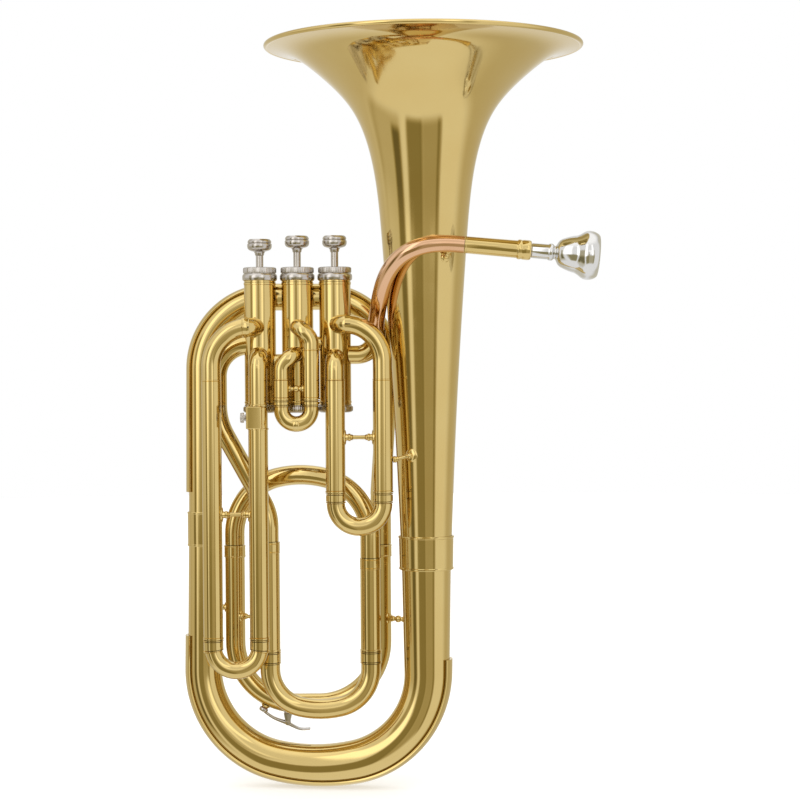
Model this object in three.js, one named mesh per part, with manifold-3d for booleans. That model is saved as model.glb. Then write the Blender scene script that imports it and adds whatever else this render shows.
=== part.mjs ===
// Baritone horn in B flat with three piston valves, as separate pieces.
// Millimetres, +Z up. In the design frame the bell axis is the line X = 0, Y = 0, the bottom bow
// hangs down to about Z = 0, and the player sits at +Y. The whole horn is shifted at
// the end, so that its origin is the lowest point of the bottom bow, where a stand carries it.
//
// Air path: mouthpiece, receiver, leadpipe, valve 1, 2, 3, S tube, tuning slide, arch tube,
// lower loop, top bow, bottom bow, bell.

import * as THREE from 'three';
import { mergeVertices } from 'three/addons/utils/BufferGeometryUtils.js';
import Module from 'manifold-3d';

const wasm = await Module();
wasm.setup();

// ---------------------------------------------------------------- driving dimensions

const GAP = 0.35; // clearance between neighbouring pieces
const WALL = 0.8; // sheet thickness of tubes and bows
const CHAMFER = 0.3; // on the edges of a ferrule that is part of its tube
const BEND_STEP = THREE.MathUtils.degToRad(30); // longest arc between two rings of a narrow bend
const WIDE_STEP = THREE.MathUtils.degToRad(18); // the same for a wide bend
const WIDE_BEND = 55; // radius from which a bend is wide

// Bell: outer radius at each height, from the tail to just under the rim.
const BELL_PROFILE = [
  [164, 17.9], [270, 22.6], [380, 29.8], [420, 33.4], [450, 39], [478, 50.7], [500, 70.5],
  [510, 82.5], [516.3, 92], [519.6, 101], [521.3, 110.6],
];
const BELL_RIM_Z = 523.4;
const BELL_RIM_R = 113;
const BELL_BEAD = 1.9; // radius of the rolled bead at the rim
const BELL_FERRULE = { bottom: 152, top: 176, proud: 1.6 };

// Bottom bow: from the bell tail (right leg, Y = 0) to the top bow (left leg, behind it).
// Its bend has tighter sides than bottom, and so have the arch tube and the tuning crook.
const BOW_LEFT_X = -160.4;
const BACK_Y = 22; // plane of the top bow and the lower loop
const BOW_BEND = { lowest: 10.8, side: 66.3, middle: 134.2 };
const BOW_LEFT_TOP = 180;
const BOW_LARGE_R = 17.7;
const BOW_MID_R = 14;
const BOW_SMALL_R = 10.6;

// Top bow: up the left side, over the valves, down between the bell and the valves.
const TOP_BOW_Z = 345.7;
const TOP_BOW_LARGE_R = 10.6;
const TOP_BOW_SMALL_R = 7.4;
const LEFT_FERRULE = { bottom: 167.7, top: 192.4, bore: 11, r: 11.7 };

// Guard plates soldered along the outside of both bows.
const GUARD = {
  gap: 0.9, thick: 1.1, halfAngle: THREE.MathUtils.degToRad(40),
  bowRightEnd: 88.5, bowLeftEnd: 103.3, topLeftEnd: 206.5, topRightTail: 165,
};

// Lower loop with the water key, arch tube and main tuning slide.
const LOOP = { left: -138, right: -32.4, bottom: 52.8, bend: 45, top: 168, r: 7.1, ferrule: 9 };
const ARCH = { highest: 219, side: 42, middle: 76, r: 7.1 };
const TUNING = {
  y: 2, left: -111.8, right: -39.9, leftTop: 172, rightTop: 160, sleeveR: 7.3,
  ferruleBottom: 84.8, ferruleTop: 93.4, inner: 60, tubeR: 7.1, lowest: 51.9, side: 28, middle: 63,
};

// Valves: valve 1 is nearest the bell. Their axes stand in the plane Y = 0.
const VALVE_X = [-63.8, -90.4, -117];
const CASING = { r: 11.2, bore: 10, bottom: 267.2, top: 360.6 };
const BOTTOM_CAP = { r: 12.4, bottom: 264, top: 269.6 };
const TOP_CAP = { r: 12.4, upperR: 11.8, bottom: 357.6, top: 367.2, stemHole: 3.2 };
const PISTON = { r: 9.6, bottom: 287, top: 357.8, portR: 4.4 };
const STEM_R = 2.65;
const BUTTON = { r: 8.7, height: 8.3, undersideZ: [381, 381, 378.8] };
const FELT = { r: 6.5, height: 2.4 };
const SPRING = { r: 6.2, wire: 0.65, turns: 4 };

// Valve slides hang in front of the casings.
const FRONT_Y = -20;
const SLIDE = [
  { // valve 1
    upper: 326.5, upperBend: 26, lower: 303, legs: [-63.6, -30.3],
    sleeveTop: [288, 288], sleeveBottom: 208.3, sleeveR: 6.9, innerTop: 277,
    ferruleBottom: 200.8, bendZ: 200.7, tubeR: 6.5, braceZ: 247,
  },
  { // valve 2
    upper: 324.5, upperBend: 9, lower: 305.5, legs: [-101.1, -80.4],
    sleeveTop: [288.3, 309], sleeveBottom: 273.8, sleeveR: 6, innerTop: 288,
    ferruleBottom: 268.8, bendZ: 266.9, tubeR: 5.5, braceZ: 281.3,
  },
  { // valve 3
    upper: 324.6, upperBend: 27, lower: 304.5, legs: [-117.7, -150.3],
    sleeveTop: [269.4, 288], sleeveBottom: 105.6, sleeveR: 6.9, innerTop: 250,
    ferruleBottom: 97, bendZ: 99.7, tubeR: 6.1, braceZ: 193.2,
  },
];

// Leadpipe, receiver and mouthpiece.
const LEADPIPE_R = 5.9;
const LEADPIPE = [
  [-34.9, 1, 320.5], [-34.8, 0.6, 325], [-34, -3.2, 332], [-32.6, -9.5, 340], [-30.2, -17.4, 351],
  [-26, -25, 361.6], [-19.6, -31.6, 370.2], [-10.6, -36.4, 376.6], [0, -38, 380.2],
  [12, -38, 381.4], [27, -38, 380.5],
];
const ELBOW = { x: -34.9, y: 1, z: 304.8, bend: 13.5, r: 6.6, ferruleR: 7.3 };
const RECEIVER_TILT = THREE.MathUtils.degToRad(5.3); // the mouthpiece end points down a little
const RECEIVER = { length: 46, bore: 4.4, smallR: 5.8, largeR: 6.2, ringR: 6.9, ringLength: 8 };
// Mouthpiece: [radius, distance from the receiver's end], up the outside, over the rim and down the cup.
const MOUTHPIECE_SHANK = { seat: 22, bore: 2.4, r: 4 }; // the part inside the receiver
const MOUTHPIECE = [
  [5.3, 0.4], [5.3, 12], [5.9, 12.6], [5.9, 15.2], [4.5, 16.4], [8.6, 19.2], [10.8, 23.4], [12.5, 28.5],
  [13.1, 31.6], [15.8, 35.6], [17, 38.6], [16.8, 42.8], [14.4, 46.8], [12.4, 46.8],
  [11.2, 42], [10.8, 37], [6.2, 26], [2.4, 21],
];

// Lyre holder on the third slide, and the water key.
const LYRE = { z: 261.6, height: 15.4, width: 11, depth: 7.4, socket: 4.8, left: 2 };
const KEY = {
  nippleAngle: THREE.MathUtils.degToRad(243), nipple: 1.4, nippleR: 2.6, holeR: 1.4,
  pivotX: -100.5, pivotZ: 39.2, pinR: 0.8,
};

// ---------------------------------------------------------------- materials

const metal = (color, roughness) =>
  new THREE.MeshStandardMaterial({ color, roughness, metalness: 1 });
const brass = metal(0xd9b25c, 0.18);
const roseBrass = metal(0xd89a7c, 0.22);
const nickel = metal(0xc9c6c0, 0.22);
const silver = metal(0xe4e6e8, 0.15);
const steel = metal(0x9b9ca0, 0.35);
const felt = new THREE.MeshStandardMaterial({ color: 0x3b4a3c, roughness: 0.95, metalness: 0 });

const horn = new THREE.Group();

// ---------------------------------------------------------------- shape helpers

function vec(x, y, z) {
  return new THREE.Vector3(x, y, z);
}

function add(name, geometry, material) {
  const mesh = new THREE.Mesh(geometry, material);
  mesh.name = name;
  horn.add(mesh);
  return mesh;
}

// A closed mesh as a manifold-3d solid, and back.
function solid(geometry) {
  const bare = geometry.clone();
  bare.deleteAttribute('normal');
  bare.deleteAttribute('uv');
  const merged = mergeVertices(bare, 1e-3);
  return new wasm.Manifold(new wasm.Mesh({
    numProp: 3,
    vertProperties: merged.attributes.position.array,
    triVerts: new Uint32Array(merged.index.array),
  }));
}

function geometryOf(body) {
  const mesh = body.getMesh();
  const geometry = new THREE.BufferGeometry();
  geometry.setAttribute('position', new THREE.BufferAttribute(mesh.vertProperties, 3));
  geometry.setIndex(new THREE.BufferAttribute(mesh.triVerts, 1));
  geometry.computeVertexNormals();
  return geometry;
}

function cut(geometry, ...tools) {
  return geometryOf(tools.reduce((body, tool) => body.subtract(solid(tool)), solid(geometry)));
}

// The union's largest body; slivers of no volume, where faces nearly coincide, are dropped.
function join(...geometries) {
  const bodies = geometries.map(solid).reduce((all, body) => all.add(body)).decompose();
  return geometryOf(bodies.reduce((a, b) => (b.volume() > a.volume() ? b : a)));
}

// A profile of [radius, height] turned about +Z, then laid along a direction from a point.
function turned(profile, segments, at = vec(0, 0, 0), direction = vec(0, 0, 1)) {
  const geometry = new THREE.LatheGeometry(profile.map(([r, h]) => new THREE.Vector2(r, h)), segments);
  geometry.rotateX(Math.PI / 2);
  const turn = new THREE.Quaternion().setFromUnitVectors(vec(0, 0, 1), direction.clone().normalize());
  geometry.applyQuaternion(turn);
  return geometry.translate(at.x, at.y, at.z);
}

// A solid rod, and a ring with a round hole, both between two heights on the turning axis.
function rod(radius, low, high) {
  return [[0, low], [radius, low], [radius, high], [0, high]];
}

function ring(inner, outer, low, high) {
  return [[inner, low], [outer, low], [outer, high], [inner, high], [inner, low]];
}

function rodBetween(from, to, radius, segments = 10) {
  return turned(rod(radius, 0, from.distanceTo(to)), segments, from, to.clone().sub(from));
}

// Stations along a polyline whose inner corners, [x, y, z, bend radius], are rounded by arcs.
// Each station has its point, its direction and its distance from the start.
function route(...corners) {
  const points = corners.map(([x, y, z]) => vec(x, y, z));
  const stations = [];
  const push = (point, direction) => {
    const last = stations.at(-1);
    const along = last ? last.along + last.point.distanceTo(point) : 0;
    if (!last || along - last.along > 0.01) stations.push({ point, direction, along });
  };
  push(points[0], points[1].clone().sub(points[0]).normalize());
  for (let i = 1; i < points.length - 1; i += 1) {
    const before = points[i].clone().sub(points[i - 1]).normalize();
    const after = points[i + 1].clone().sub(points[i]).normalize();
    const angle = before.angleTo(after);
    const radius = corners[i][3];
    const inward = after.clone().addScaledVector(before, -before.dot(after)).normalize();
    const start = points[i].clone().addScaledVector(before, -radius * Math.tan(angle / 2));
    const centre = start.clone().addScaledVector(inward, radius);
    const steps = Math.ceil(angle / (radius < WIDE_BEND ? BEND_STEP : WIDE_STEP));
    for (let k = 0; k <= steps; k += 1) {
      const a = (angle * k) / steps;
      push(
        centre.clone().addScaledVector(inward, -radius * Math.cos(a)).addScaledVector(before, radius * Math.sin(a)),
        before.clone().multiplyScalar(Math.cos(a)).addScaledVector(inward, Math.sin(a)),
      );
    }
  }
  const end = points.length - 1;
  push(points[end], points[end].clone().sub(points[end - 1]).normalize());
  return stations;
}

// Corners for route() of a U from one upright leg to another: tight sides, and a middle of larger
// radius whose furthest point is at height tip. A negative side turns the U over, as an arch.
function archCorners([x0, y0], [x1, y1], tip, side, middle, way = 1) {
  const half = Math.hypot(x1 - x0, y1 - y0) / 2;
  const turn = Math.asin((half - side) / (middle - side)); // half the angle of the middle
  const depth = middle - (middle - side) * Math.cos(turn);
  const shoulder = tip + way * (depth - side * Math.tan((Math.PI / 2 - turn) / 2));
  const beyond = tip - way * middle * (1 / Math.cos(turn) - 1);
  return [
    [x0, y0, shoulder, side], [(x0 + x1) / 2, (y0 + y1) / 2, beyond, middle], [x1, y1, shoulder, side],
  ];
}

// Stations on a smooth curve through free points.
function smoothRoute(points, count) {
  const curve = new THREE.CatmullRomCurve3(points.map(([x, y, z]) => vec(x, y, z)), false, 'centripetal');
  const length = curve.getLength();
  return Array.from({ length: count + 1 }, (unused, i) => ({
    point: curve.getPointAt(i / count),
    direction: curve.getTangentAt(i / count),
    along: (length * i) / count,
  }));
}

function lengthOf(stations) {
  return stations.at(-1).along;
}

// The station at a given distance, between the two that are stored.
function stationAt(stations, along) {
  const next = stations.findIndex((s) => s.along >= along - 1e-6);
  if (next <= 0) return { ...stations.at(next), along };
  const [a, b] = [stations[next - 1], stations[next]];
  const t = (along - a.along) / (b.along - a.along);
  return {
    point: a.point.clone().lerp(b.point, t),
    direction: a.direction.clone().lerp(b.direction, t).normalize(),
    along,
  };
}

// Adds to each station two cross axes that turn with the route but never twist about it.
function framed(stations) {
  let across = Math.abs(stations[0].direction.z) > 0.9 ? vec(1, 0, 0) : vec(0, 0, 1);
  return stations.map((s) => {
    const u = across.clone().addScaledVector(s.direction, -across.dot(s.direction)).normalize();
    across = u;
    return { ...s, u, v: s.direction.clone().cross(u) };
  });
}

// A closed skin over loops of points: each loop is joined to the next, and the last to the first.
function loopSkin(loops) {
  const sides = loops[0].length;
  const index = [];
  loops.forEach((unused, i) => {
    const next = (i + 1) % loops.length;
    for (let j = 0; j < sides; j += 1) {
      const k = (j + 1) % sides;
      const [a, b, c, d] = [i * sides + j, i * sides + k, next * sides + k, next * sides + j];
      index.push(a, b, c, a, c, d);
    }
  });
  const geometry = new THREE.BufferGeometry();
  geometry.setAttribute('position', new THREE.Float32BufferAttribute(loops.flat().flatMap((p) => p.toArray()), 3));
  geometry.setIndex(index);
  geometry.computeVertexNormals();
  return geometry;
}

// An open-ended tube along a route. radiusAt is a number or a function of the distance, and each
// band { from, to, r } is a stretch of the outside that stands proud, such as a ferrule.
function tube(stations, radiusAt, { wall = WALL, sides = 8, bands = [] } = {}) {
  const radius = typeof radiusAt === 'function' ? radiusAt : () => radiusAt;
  const total = lengthOf(stations);
  const edges = [...new Set(bands.flatMap(({ from, to }) => [from, to]))]
    .filter((s) => s > 0.01 && s < total - 0.01);
  const extra = edges.filter((s) => !stations.some((t) => Math.abs(t.along - s) < 0.01));
  const all = framed([...stations, ...extra.map((s) => stationAt(stations, s))].sort((a, b) => a.along - b.along));
  const loop = (s, r) => Array.from({ length: sides }, (unused, j) => {
    const a = (2 * Math.PI * (j + 0.5)) / sides;
    return s.point.clone().addScaledVector(s.u, r * Math.cos(a)).addScaledVector(s.v, r * Math.sin(a));
  });
  const outerAt = (s, side) => {
    const band = bands.find(({ from, to }) => s + side * 0.02 > from && s + side * 0.02 < to);
    return band ? band.r : radius(s);
  };
  const outside = all.flatMap((s) => {
    const [before, after] = [outerAt(s.along, -1), outerAt(s.along, 1)];
    if (s.along < 0.01) return [loop(s, after)];
    if (s.along > total - 0.01 || Math.abs(before - after) < 0.01) return [loop(s, before)];
    const step = Math.sign(after - before) * CHAMFER;
    const shifted = { ...s, point: s.point.clone().addScaledVector(s.direction, step) };
    return after > before ? [loop(s, before), loop(shifted, after)] : [loop(shifted, before), loop(s, after)];
  });
  const inside = all.map((s) => loop(s, radius(s.along) - wall)).reverse();
  return loopSkin([...outside, ...inside]);
}

// A strip of sheet that follows the outside of a bend, between two distances.
function guardStrip(stations, radiusAt, outwardAt, from, to) {
  const inside = stations.filter((s) => s.along > from + 1 && s.along < to - 1);
  const kept = [stationAt(stations, from), ...inside, stationAt(stations, to)];
  const arc = [-1, -0.5, 0, 0.5, 1].map((t) => t * GUARD.halfAngle);
  return cappedSkin(kept.map((s) => {
    const outward = outwardAt(s);
    const across = s.direction.clone().cross(outward);
    const low = radiusAt(s.along) + GUARD.gap;
    const at = (r, a) => s.point.clone()
      .addScaledVector(outward, r * Math.cos(a)).addScaledVector(across, r * Math.sin(a));
    return [...arc.map((a) => at(low + GUARD.thick, a)), ...[...arc].reverse().map((a) => at(low, a))];
  }));
}

// A closed skin over loops of points with a flat lid on the first and on the last loop.
function cappedSkin(loops) {
  const sides = loops[0].length;
  const half = sides / 2;
  const geometry = loopSkin(loops);
  const index = Array.from(geometry.index.array).slice(0, (loops.length - 1) * sides * 6);
  const last = (loops.length - 1) * sides;
  for (let j = 0; j < half - 1; j += 1) {
    const [a, b, c, d] = [j, j + 1, sides - 2 - j, sides - 1 - j];
    index.push(a, c, b, a, d, c);
    index.push(last + a, last + b, last + c, last + a, last + c, last + d);
  }
  geometry.setIndex(index);
  geometry.computeVertexNormals();
  return geometry;
}

// The space a casing takes up, used to trim the tubes that meet it.
function casingSpace(i) {
  return turned(rod(CASING.r + GAP, CASING.bottom, CASING.top), 20, vec(VALVE_X[i], 0, 0));
}

// A small stay between two tubes: a spindle with a round foot at each end.
function stay(from, to, { rodR = 1.5, footR = 4, ball = 0 } = {}) {
  const length = from.distanceTo(to);
  const middle = ball ? [[rodR, length / 2 - ball], [ball, length / 2], [rodR, length / 2 + ball]] : [];
  const profile = [
    [0, 0], [footR, 0], [footR, 1], [rodR, 2], ...middle,
    [rodR, length - 2], [footR, length - 1], [footR, length], [0, length],
  ];
  return turned(profile, 8, from, to.clone().sub(from));
}

// ---------------------------------------------------------------- bell

const bellCurve = new THREE.SplineCurve(BELL_PROFILE.map(([z, r]) => new THREE.Vector2(r, z)));

function bellRadius(z) {
  const i = Math.max(1, BELL_PROFILE.findIndex(([height]) => height >= z));
  const [[z0, r0], [z1, r1]] = [BELL_PROFILE[i - 1], BELL_PROFILE[i]];
  return r0 + ((r1 - r0) * (z - z0)) / (z1 - z0);
}

function makeBell() {
  const outside = bellCurve.getPoints(15);
  const inside = outside.map((p) => {
    const flare = p.x > 60 ? WALL * 0.4 : WALL;
    return new THREE.Vector2(p.x - flare, p.y + (p.x > 60 ? WALL : 0));
  }).reverse();
  const beadTop = BELL_RIM_Z + BELL_BEAD * 0.6;
  const bead = [
    [BELL_RIM_R - BELL_BEAD, BELL_RIM_Z - BELL_BEAD], [BELL_RIM_R, BELL_RIM_Z - 0.6 * BELL_BEAD],
    [BELL_RIM_R, beadTop - 0.8], [BELL_RIM_R - 0.8, beadTop], [BELL_RIM_R - 3.4, beadTop],
  ].map(([r, z]) => new THREE.Vector2(r, z));
  const profile = [...outside.slice(0, -1), ...bead, ...inside.slice(1), outside[0]];
  const geometry = new THREE.LatheGeometry(profile, 24);
  return geometry.rotateX(Math.PI / 2);
}

function makeBellFerrule() {
  const { bottom, top, proud } = BELL_FERRULE;
  const low = BOW_LARGE_R + GAP;
  const high = bellRadius(top) + GAP;
  return turned(
    [[low, bottom], [low + proud - GAP, bottom], [high + proud - GAP, top], [high, top], [low, bottom]], 24,
  );
}

add('bell', makeBell(), brass);
add('bell_ferrule', makeBellFerrule(), brass);

// ---------------------------------------------------------------- bottom bow and top bow

const bottomBowRoute = route(
  [0, 0, BELL_PROFILE[0][0] - GAP],
  ...archCorners([0, 0], [BOW_LEFT_X, BACK_Y], BOW_BEND.lowest, BOW_BEND.side, BOW_BEND.middle),
  [BOW_LEFT_X, BACK_Y, BOW_LEFT_TOP],
);
const bottomBowLength = lengthOf(bottomBowRoute);

// The bore narrows steadily; a slight bulge term holds the middle radius.
function bottomBowRadius(along) {
  const t = along / bottomBowLength;
  const bulge = 4 * (BOW_MID_R - (BOW_LARGE_R + BOW_SMALL_R) / 2);
  return BOW_LARGE_R + (BOW_SMALL_R - BOW_LARGE_R) * t + bulge * t * (1 - t);
}

const topBowRoute = route(
  [BOW_LEFT_X, BACK_Y, BOW_LEFT_TOP + GAP], [BOW_LEFT_X, BACK_Y, TOP_BOW_Z, 50],
  [-22.6, BACK_Y, TOP_BOW_Z, 46], [LOOP.right, BACK_Y, 205, 60], [LOOP.right, BACK_Y, LOOP.top + GAP],
);
const topBowLength = lengthOf(topBowRoute);

function topBowRadius(along) {
  return TOP_BOW_LARGE_R + (TOP_BOW_SMALL_R - TOP_BOW_LARGE_R) * Math.min(1, along / (topBowLength * 0.8));
}

// Outward on a bow: away from the middle of its bend, square to the tube.
function awayFrom(centre) {
  return (s) => {
    const out = s.point.clone().sub(vec(centre.x, s.point.y, Math.min(Math.max(s.point.z, centre.low), centre.high)));
    return out.addScaledVector(s.direction, -out.dot(s.direction)).normalize();
  };
}

const bowGuardFrom = BELL_PROFILE[0][0] - GUARD.bowRightEnd;
const bowGuardTo = bottomBowLength - (BOW_LEFT_TOP - GUARD.bowLeftEnd);
const topGuardFrom = GUARD.topLeftEnd - BOW_LEFT_TOP;
const topGuardTo = topBowLength - GUARD.topRightTail;

add('bottom_bow', tube(bottomBowRoute, bottomBowRadius, { sides: 14 }), brass);
add('bottom_bow_guard', guardStrip(
  bottomBowRoute, bottomBowRadius,
  awayFrom({ x: BOW_LEFT_X / 2, low: BOW_BEND.lowest + BOW_BEND.side, high: TOP_BOW_Z }),
  bowGuardFrom, bowGuardTo,
), brass);
add('top_bow', tube(topBowRoute, topBowRadius, { sides: 10 }), brass);
add('top_bow_guard', guardStrip(
  topBowRoute, topBowRadius,
  awayFrom({ x: -94, low: 0, high: TOP_BOW_Z - 50 }), topGuardFrom, topGuardTo,
), brass);
add('left_ferrule', turned(
  ring(LEFT_FERRULE.bore, LEFT_FERRULE.r, LEFT_FERRULE.bottom, LEFT_FERRULE.top),
  14, vec(BOW_LEFT_X, BACK_Y, 0),
), brass);

// ---------------------------------------------------------------- lower loop, arch, tuning slide

const loopRoute = route(
  [LOOP.left, BACK_Y, LOOP.top], [LOOP.left, BACK_Y, LOOP.bottom, LOOP.bend],
  [LOOP.right, BACK_Y, LOOP.bottom, LOOP.bend], [LOOP.right, BACK_Y, LOOP.top],
);
const loopLength = lengthOf(loopRoute);
const loopTube = tube(loopRoute, LOOP.r, {
  bands: [
    { from: -1, to: LOOP.ferrule, r: LOOP.r + 0.7 },
    { from: loopLength - LOOP.ferrule, to: loopLength + 1, r: LOOP.r + 0.7 },
  ],
});
const NIPPLE_SUNK = 0.7; // depth of its foot in the wall of the tube
// The nipple of the water key is soldered to the lower left bend, over a hole in the tube.
const loopCorner = vec(LOOP.left + LOOP.bend, BACK_Y, LOOP.bottom + LOOP.bend);
const nippleOut = vec(Math.cos(KEY.nippleAngle), 0, Math.sin(KEY.nippleAngle));
const nippleFoot = loopCorner.clone().addScaledVector(nippleOut, LOOP.bend + LOOP.r - NIPPLE_SUNK);
const nipple = turned(rod(KEY.nippleR, 0, KEY.nipple + NIPPLE_SUNK), 10, nippleFoot, nippleOut);
const nippleHole = turned(rod(KEY.holeR, -2, KEY.nipple + 1), 8, nippleFoot, nippleOut);
add('lower_loop', cut(join(loopTube, nipple), nippleHole), brass);

const archFeet = [[LOOP.left, BACK_Y], [TUNING.right, TUNING.y]];
add('arch_tube', tube(route(
  [...archFeet[0], LOOP.top + GAP],
  ...archCorners(...archFeet, ARCH.highest, ARCH.side, ARCH.middle, -1),
  [...archFeet[1], TUNING.rightTop + GAP],
), ARCH.r), brass);

function tuningSleeve(x, top) {
  const stations = route([x, TUNING.y, top], [x, TUNING.y, TUNING.ferruleTop + GAP]);
  return tube(stations, TUNING.sleeveR, { bands: [{ from: -1, to: 8, r: TUNING.sleeveR + 0.6 }] });
}

add('tuning_sleeve_left', tuningSleeve(TUNING.left, TUNING.leftTop), brass);
add('tuning_sleeve_right', tuningSleeve(TUNING.right, TUNING.rightTop), brass);

// A U crook: two thin inner legs, a ferrule where each leg meets the bend, and the bend itself.
// side and middle are the radii of its bend; without them it is half a circle.
function crook({
  left, right, y, innerTop, ferruleTop, ferruleBottom, lowest, tubeR, legR, ferruleR, side, middle,
}) {
  const half = (right - left) / 2;
  const bend = side
    ? archCorners([left, y], [right, y], lowest, side, middle)
    : [[left, y, lowest, half - 0.01], [right, y, lowest, half - 0.01]];
  const stations = route([left, y, innerTop], ...bend, [right, y, innerTop]);
  const length = lengthOf(stations);
  const [toFerrule, toBend] = [innerTop - ferruleTop, innerTop - ferruleBottom];
  return tube(stations, legR, {
    wall: 0.6,
    bands: [
      { from: toFerrule, to: toBend, r: ferruleR },
      { from: toBend, to: length - toBend, r: tubeR },
      { from: length - toBend, to: length - toFerrule, r: ferruleR },
    ],
  });
}

add('tuning_crook', crook({
  ...TUNING, innerTop: TUNING.ferruleTop + TUNING.inner,
  legR: TUNING.sleeveR - WALL - GAP, ferruleR: TUNING.sleeveR + 0.4,
}), brass);

add('s_tube', cut(tube(route(
  [VALVE_X[2], 0, 312], [-147.8, TUNING.y, 312, 22], [-147.8, TUNING.y, 258, 44],
  [TUNING.left, TUNING.y, 192, 36], [TUNING.left, TUNING.y, TUNING.leftTop + GAP],
), 6.7), casingSpace(2)), brass);

// ---------------------------------------------------------------- valves

const PORTS = [ // for each valve: [z, direction of the hole] for the tubes that enter the casing
  [[304.8, vec(1, 0, 0)], [312.8, vec(-1, 0, 0)], [326.5, vec(0.35, -1, 0)], [303, vec(0, -1, 0)]],
  [[312.8, vec(1, 0, 0)], [300.5, vec(-1, 0, 0)], [325, vec(0.1, -1, 0)], [302, vec(-0.2, -1, 0)]],
  [[300.5, vec(1, 0, 0)], [312, vec(-1, 0, 0)], [324.6, vec(-0.35, -1, 0)], [304.5, vec(0, -1, 0)]],
];

function makeCasing(i) {
  const shell = turned(ring(CASING.bore, CASING.r, CASING.bottom, CASING.top), 20, vec(VALVE_X[i], 0, 0));
  const holes = PORTS[i].map(([z, out]) => {
    const centre = vec(VALVE_X[i], 0, z);
    return rodBetween(centre, centre.clone().addScaledVector(out.clone().normalize(), 14), 3.6, 8);
  });
  return cut(shell, ...holes);
}

function makeTopCap(x) {
  const { r, upperR, bottom, top, stemHole } = TOP_CAP;
  const bore = CASING.r + GAP;
  const roof = CASING.top + GAP;
  const bandTop = bottom + 4.4;
  return turned([
    [bore, bottom], [r, bottom], [r, bandTop], [upperR, bandTop + 0.8], [upperR, top],
    [stemHole, top], [stemHole, roof], [bore, roof], [bore, bottom],
  ], 14, vec(x, 0, 0));
}

function makeBottomCap(x) {
  const { r, bottom, top } = BOTTOM_CAP;
  const bore = CASING.r + GAP;
  const floor = CASING.bottom - GAP;
  return turned([
    [1.2, bottom], [r - 1.4, bottom], [r, bottom + 1.4], [r, top], [bore, top],
    [bore, floor], [1.2, floor], [1.2, bottom],
  ], 14, vec(x, 0, 0));
}

// The piston has three cross passages, each turned from the next.
function makePiston(x) {
  const { r, bottom, top, portR } = PISTON;
  const body = turned(rod(r, bottom, top), 16, vec(x, 0, 0));
  const passages = [[300, 0.2], [314, 1.3], [328, -0.6]].map(([z, angle]) => {
    const across = vec(Math.cos(angle), Math.sin(angle), 0).multiplyScalar(2 * r);
    const centre = vec(x, 0, z);
    return rodBetween(centre.clone().sub(across), centre.clone().add(across), portR, 8);
  });
  return cut(body, ...passages);
}

function makeButton(i) {
  const under = BUTTON.undersideZ[i];
  const { r, height } = BUTTON;
  const top = under + height;
  return turned([
    [0, PISTON.top + GAP], [STEM_R, PISTON.top + GAP], [STEM_R, under - 0.6], [r - 2.4, under],
    [r, under + 1.6], [r, under + 6.2], [r - 1.6, top], [0, top - 0.6],
  ], 12, vec(VALVE_X[i], 0, 0));
}

// A compression spring between the bottom cap and the piston, at rest.
function makeSpring(x) {
  const low = CASING.bottom + SPRING.wire;
  const high = PISTON.bottom - GAP - SPRING.wire;
  const steps = SPRING.turns * 6;
  const loops = Array.from({ length: steps + 1 }, (unused, i) => {
    const a = (2 * Math.PI * SPRING.turns * i) / steps;
    const out = vec(Math.cos(a), Math.sin(a), 0);
    const centre = vec(x, 0, low + ((high - low) * i) / steps).addScaledVector(out, SPRING.r);
    return [[1, 0], [0, -1], [-1, 0], [0, 1]].map(([o, u]) => centre.clone()
      .addScaledVector(out, o * SPRING.wire).addScaledVector(vec(0, 0, 1), u * SPRING.wire));
  });
  return cappedSkin(loops);
}

VALVE_X.forEach((x, i) => {
  const n = i + 1;
  add(`casing_${n}`, makeCasing(i), brass);
  add(`top_cap_${n}`, makeTopCap(x), nickel);
  add(`bottom_cap_${n}`, makeBottomCap(x), nickel);
  add(`piston_${n}`, makePiston(x), nickel);
  add(`button_${n}`, makeButton(i), nickel);
  add(`spring_${n}`, makeSpring(x), steel);
  add(`felt_${n}`, turned(
    ring(STEM_R + GAP, FELT.r, PISTON.top + GAP, PISTON.top + GAP + FELT.height), 12, vec(x, 0, 0),
  ), felt);
});

function portTube(i, z) {
  const stations = route([VALVE_X[i], 0, z], [VALVE_X[i + 1], 0, z]);
  return cut(tube(stations, 5.2, { sides: 12 }), casingSpace(i), casingSpace(i + 1));
}

add('port_tube_12', portTube(0, 312.8), brass);
add('port_tube_23', portTube(1, 300.5), brass);

// ---------------------------------------------------------------- valve slides

// An outer slide tube: it leaves the casing, bends down and ends as the sleeve of one leg. The
// knuckle, its thinner upper stretch, has a wall of its own over the same bore.
function slideTube(i, corners, legX, sleeveTop, knuckleWall) {
  const { sleeveBottom, sleeveR } = SLIDE[i];
  const stations = route([VALVE_X[i], 0, corners[0][2]], ...corners, [legX, FRONT_Y, sleeveBottom]);
  const length = lengthOf(stations);
  const bands = [{ from: length - (sleeveTop - sleeveBottom), to: length + 1, r: sleeveR }];
  return cut(
    tube(stations, sleeveR - WALL + knuckleWall, { wall: knuckleWall, bands }), casingSpace(i),
  );
}

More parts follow.
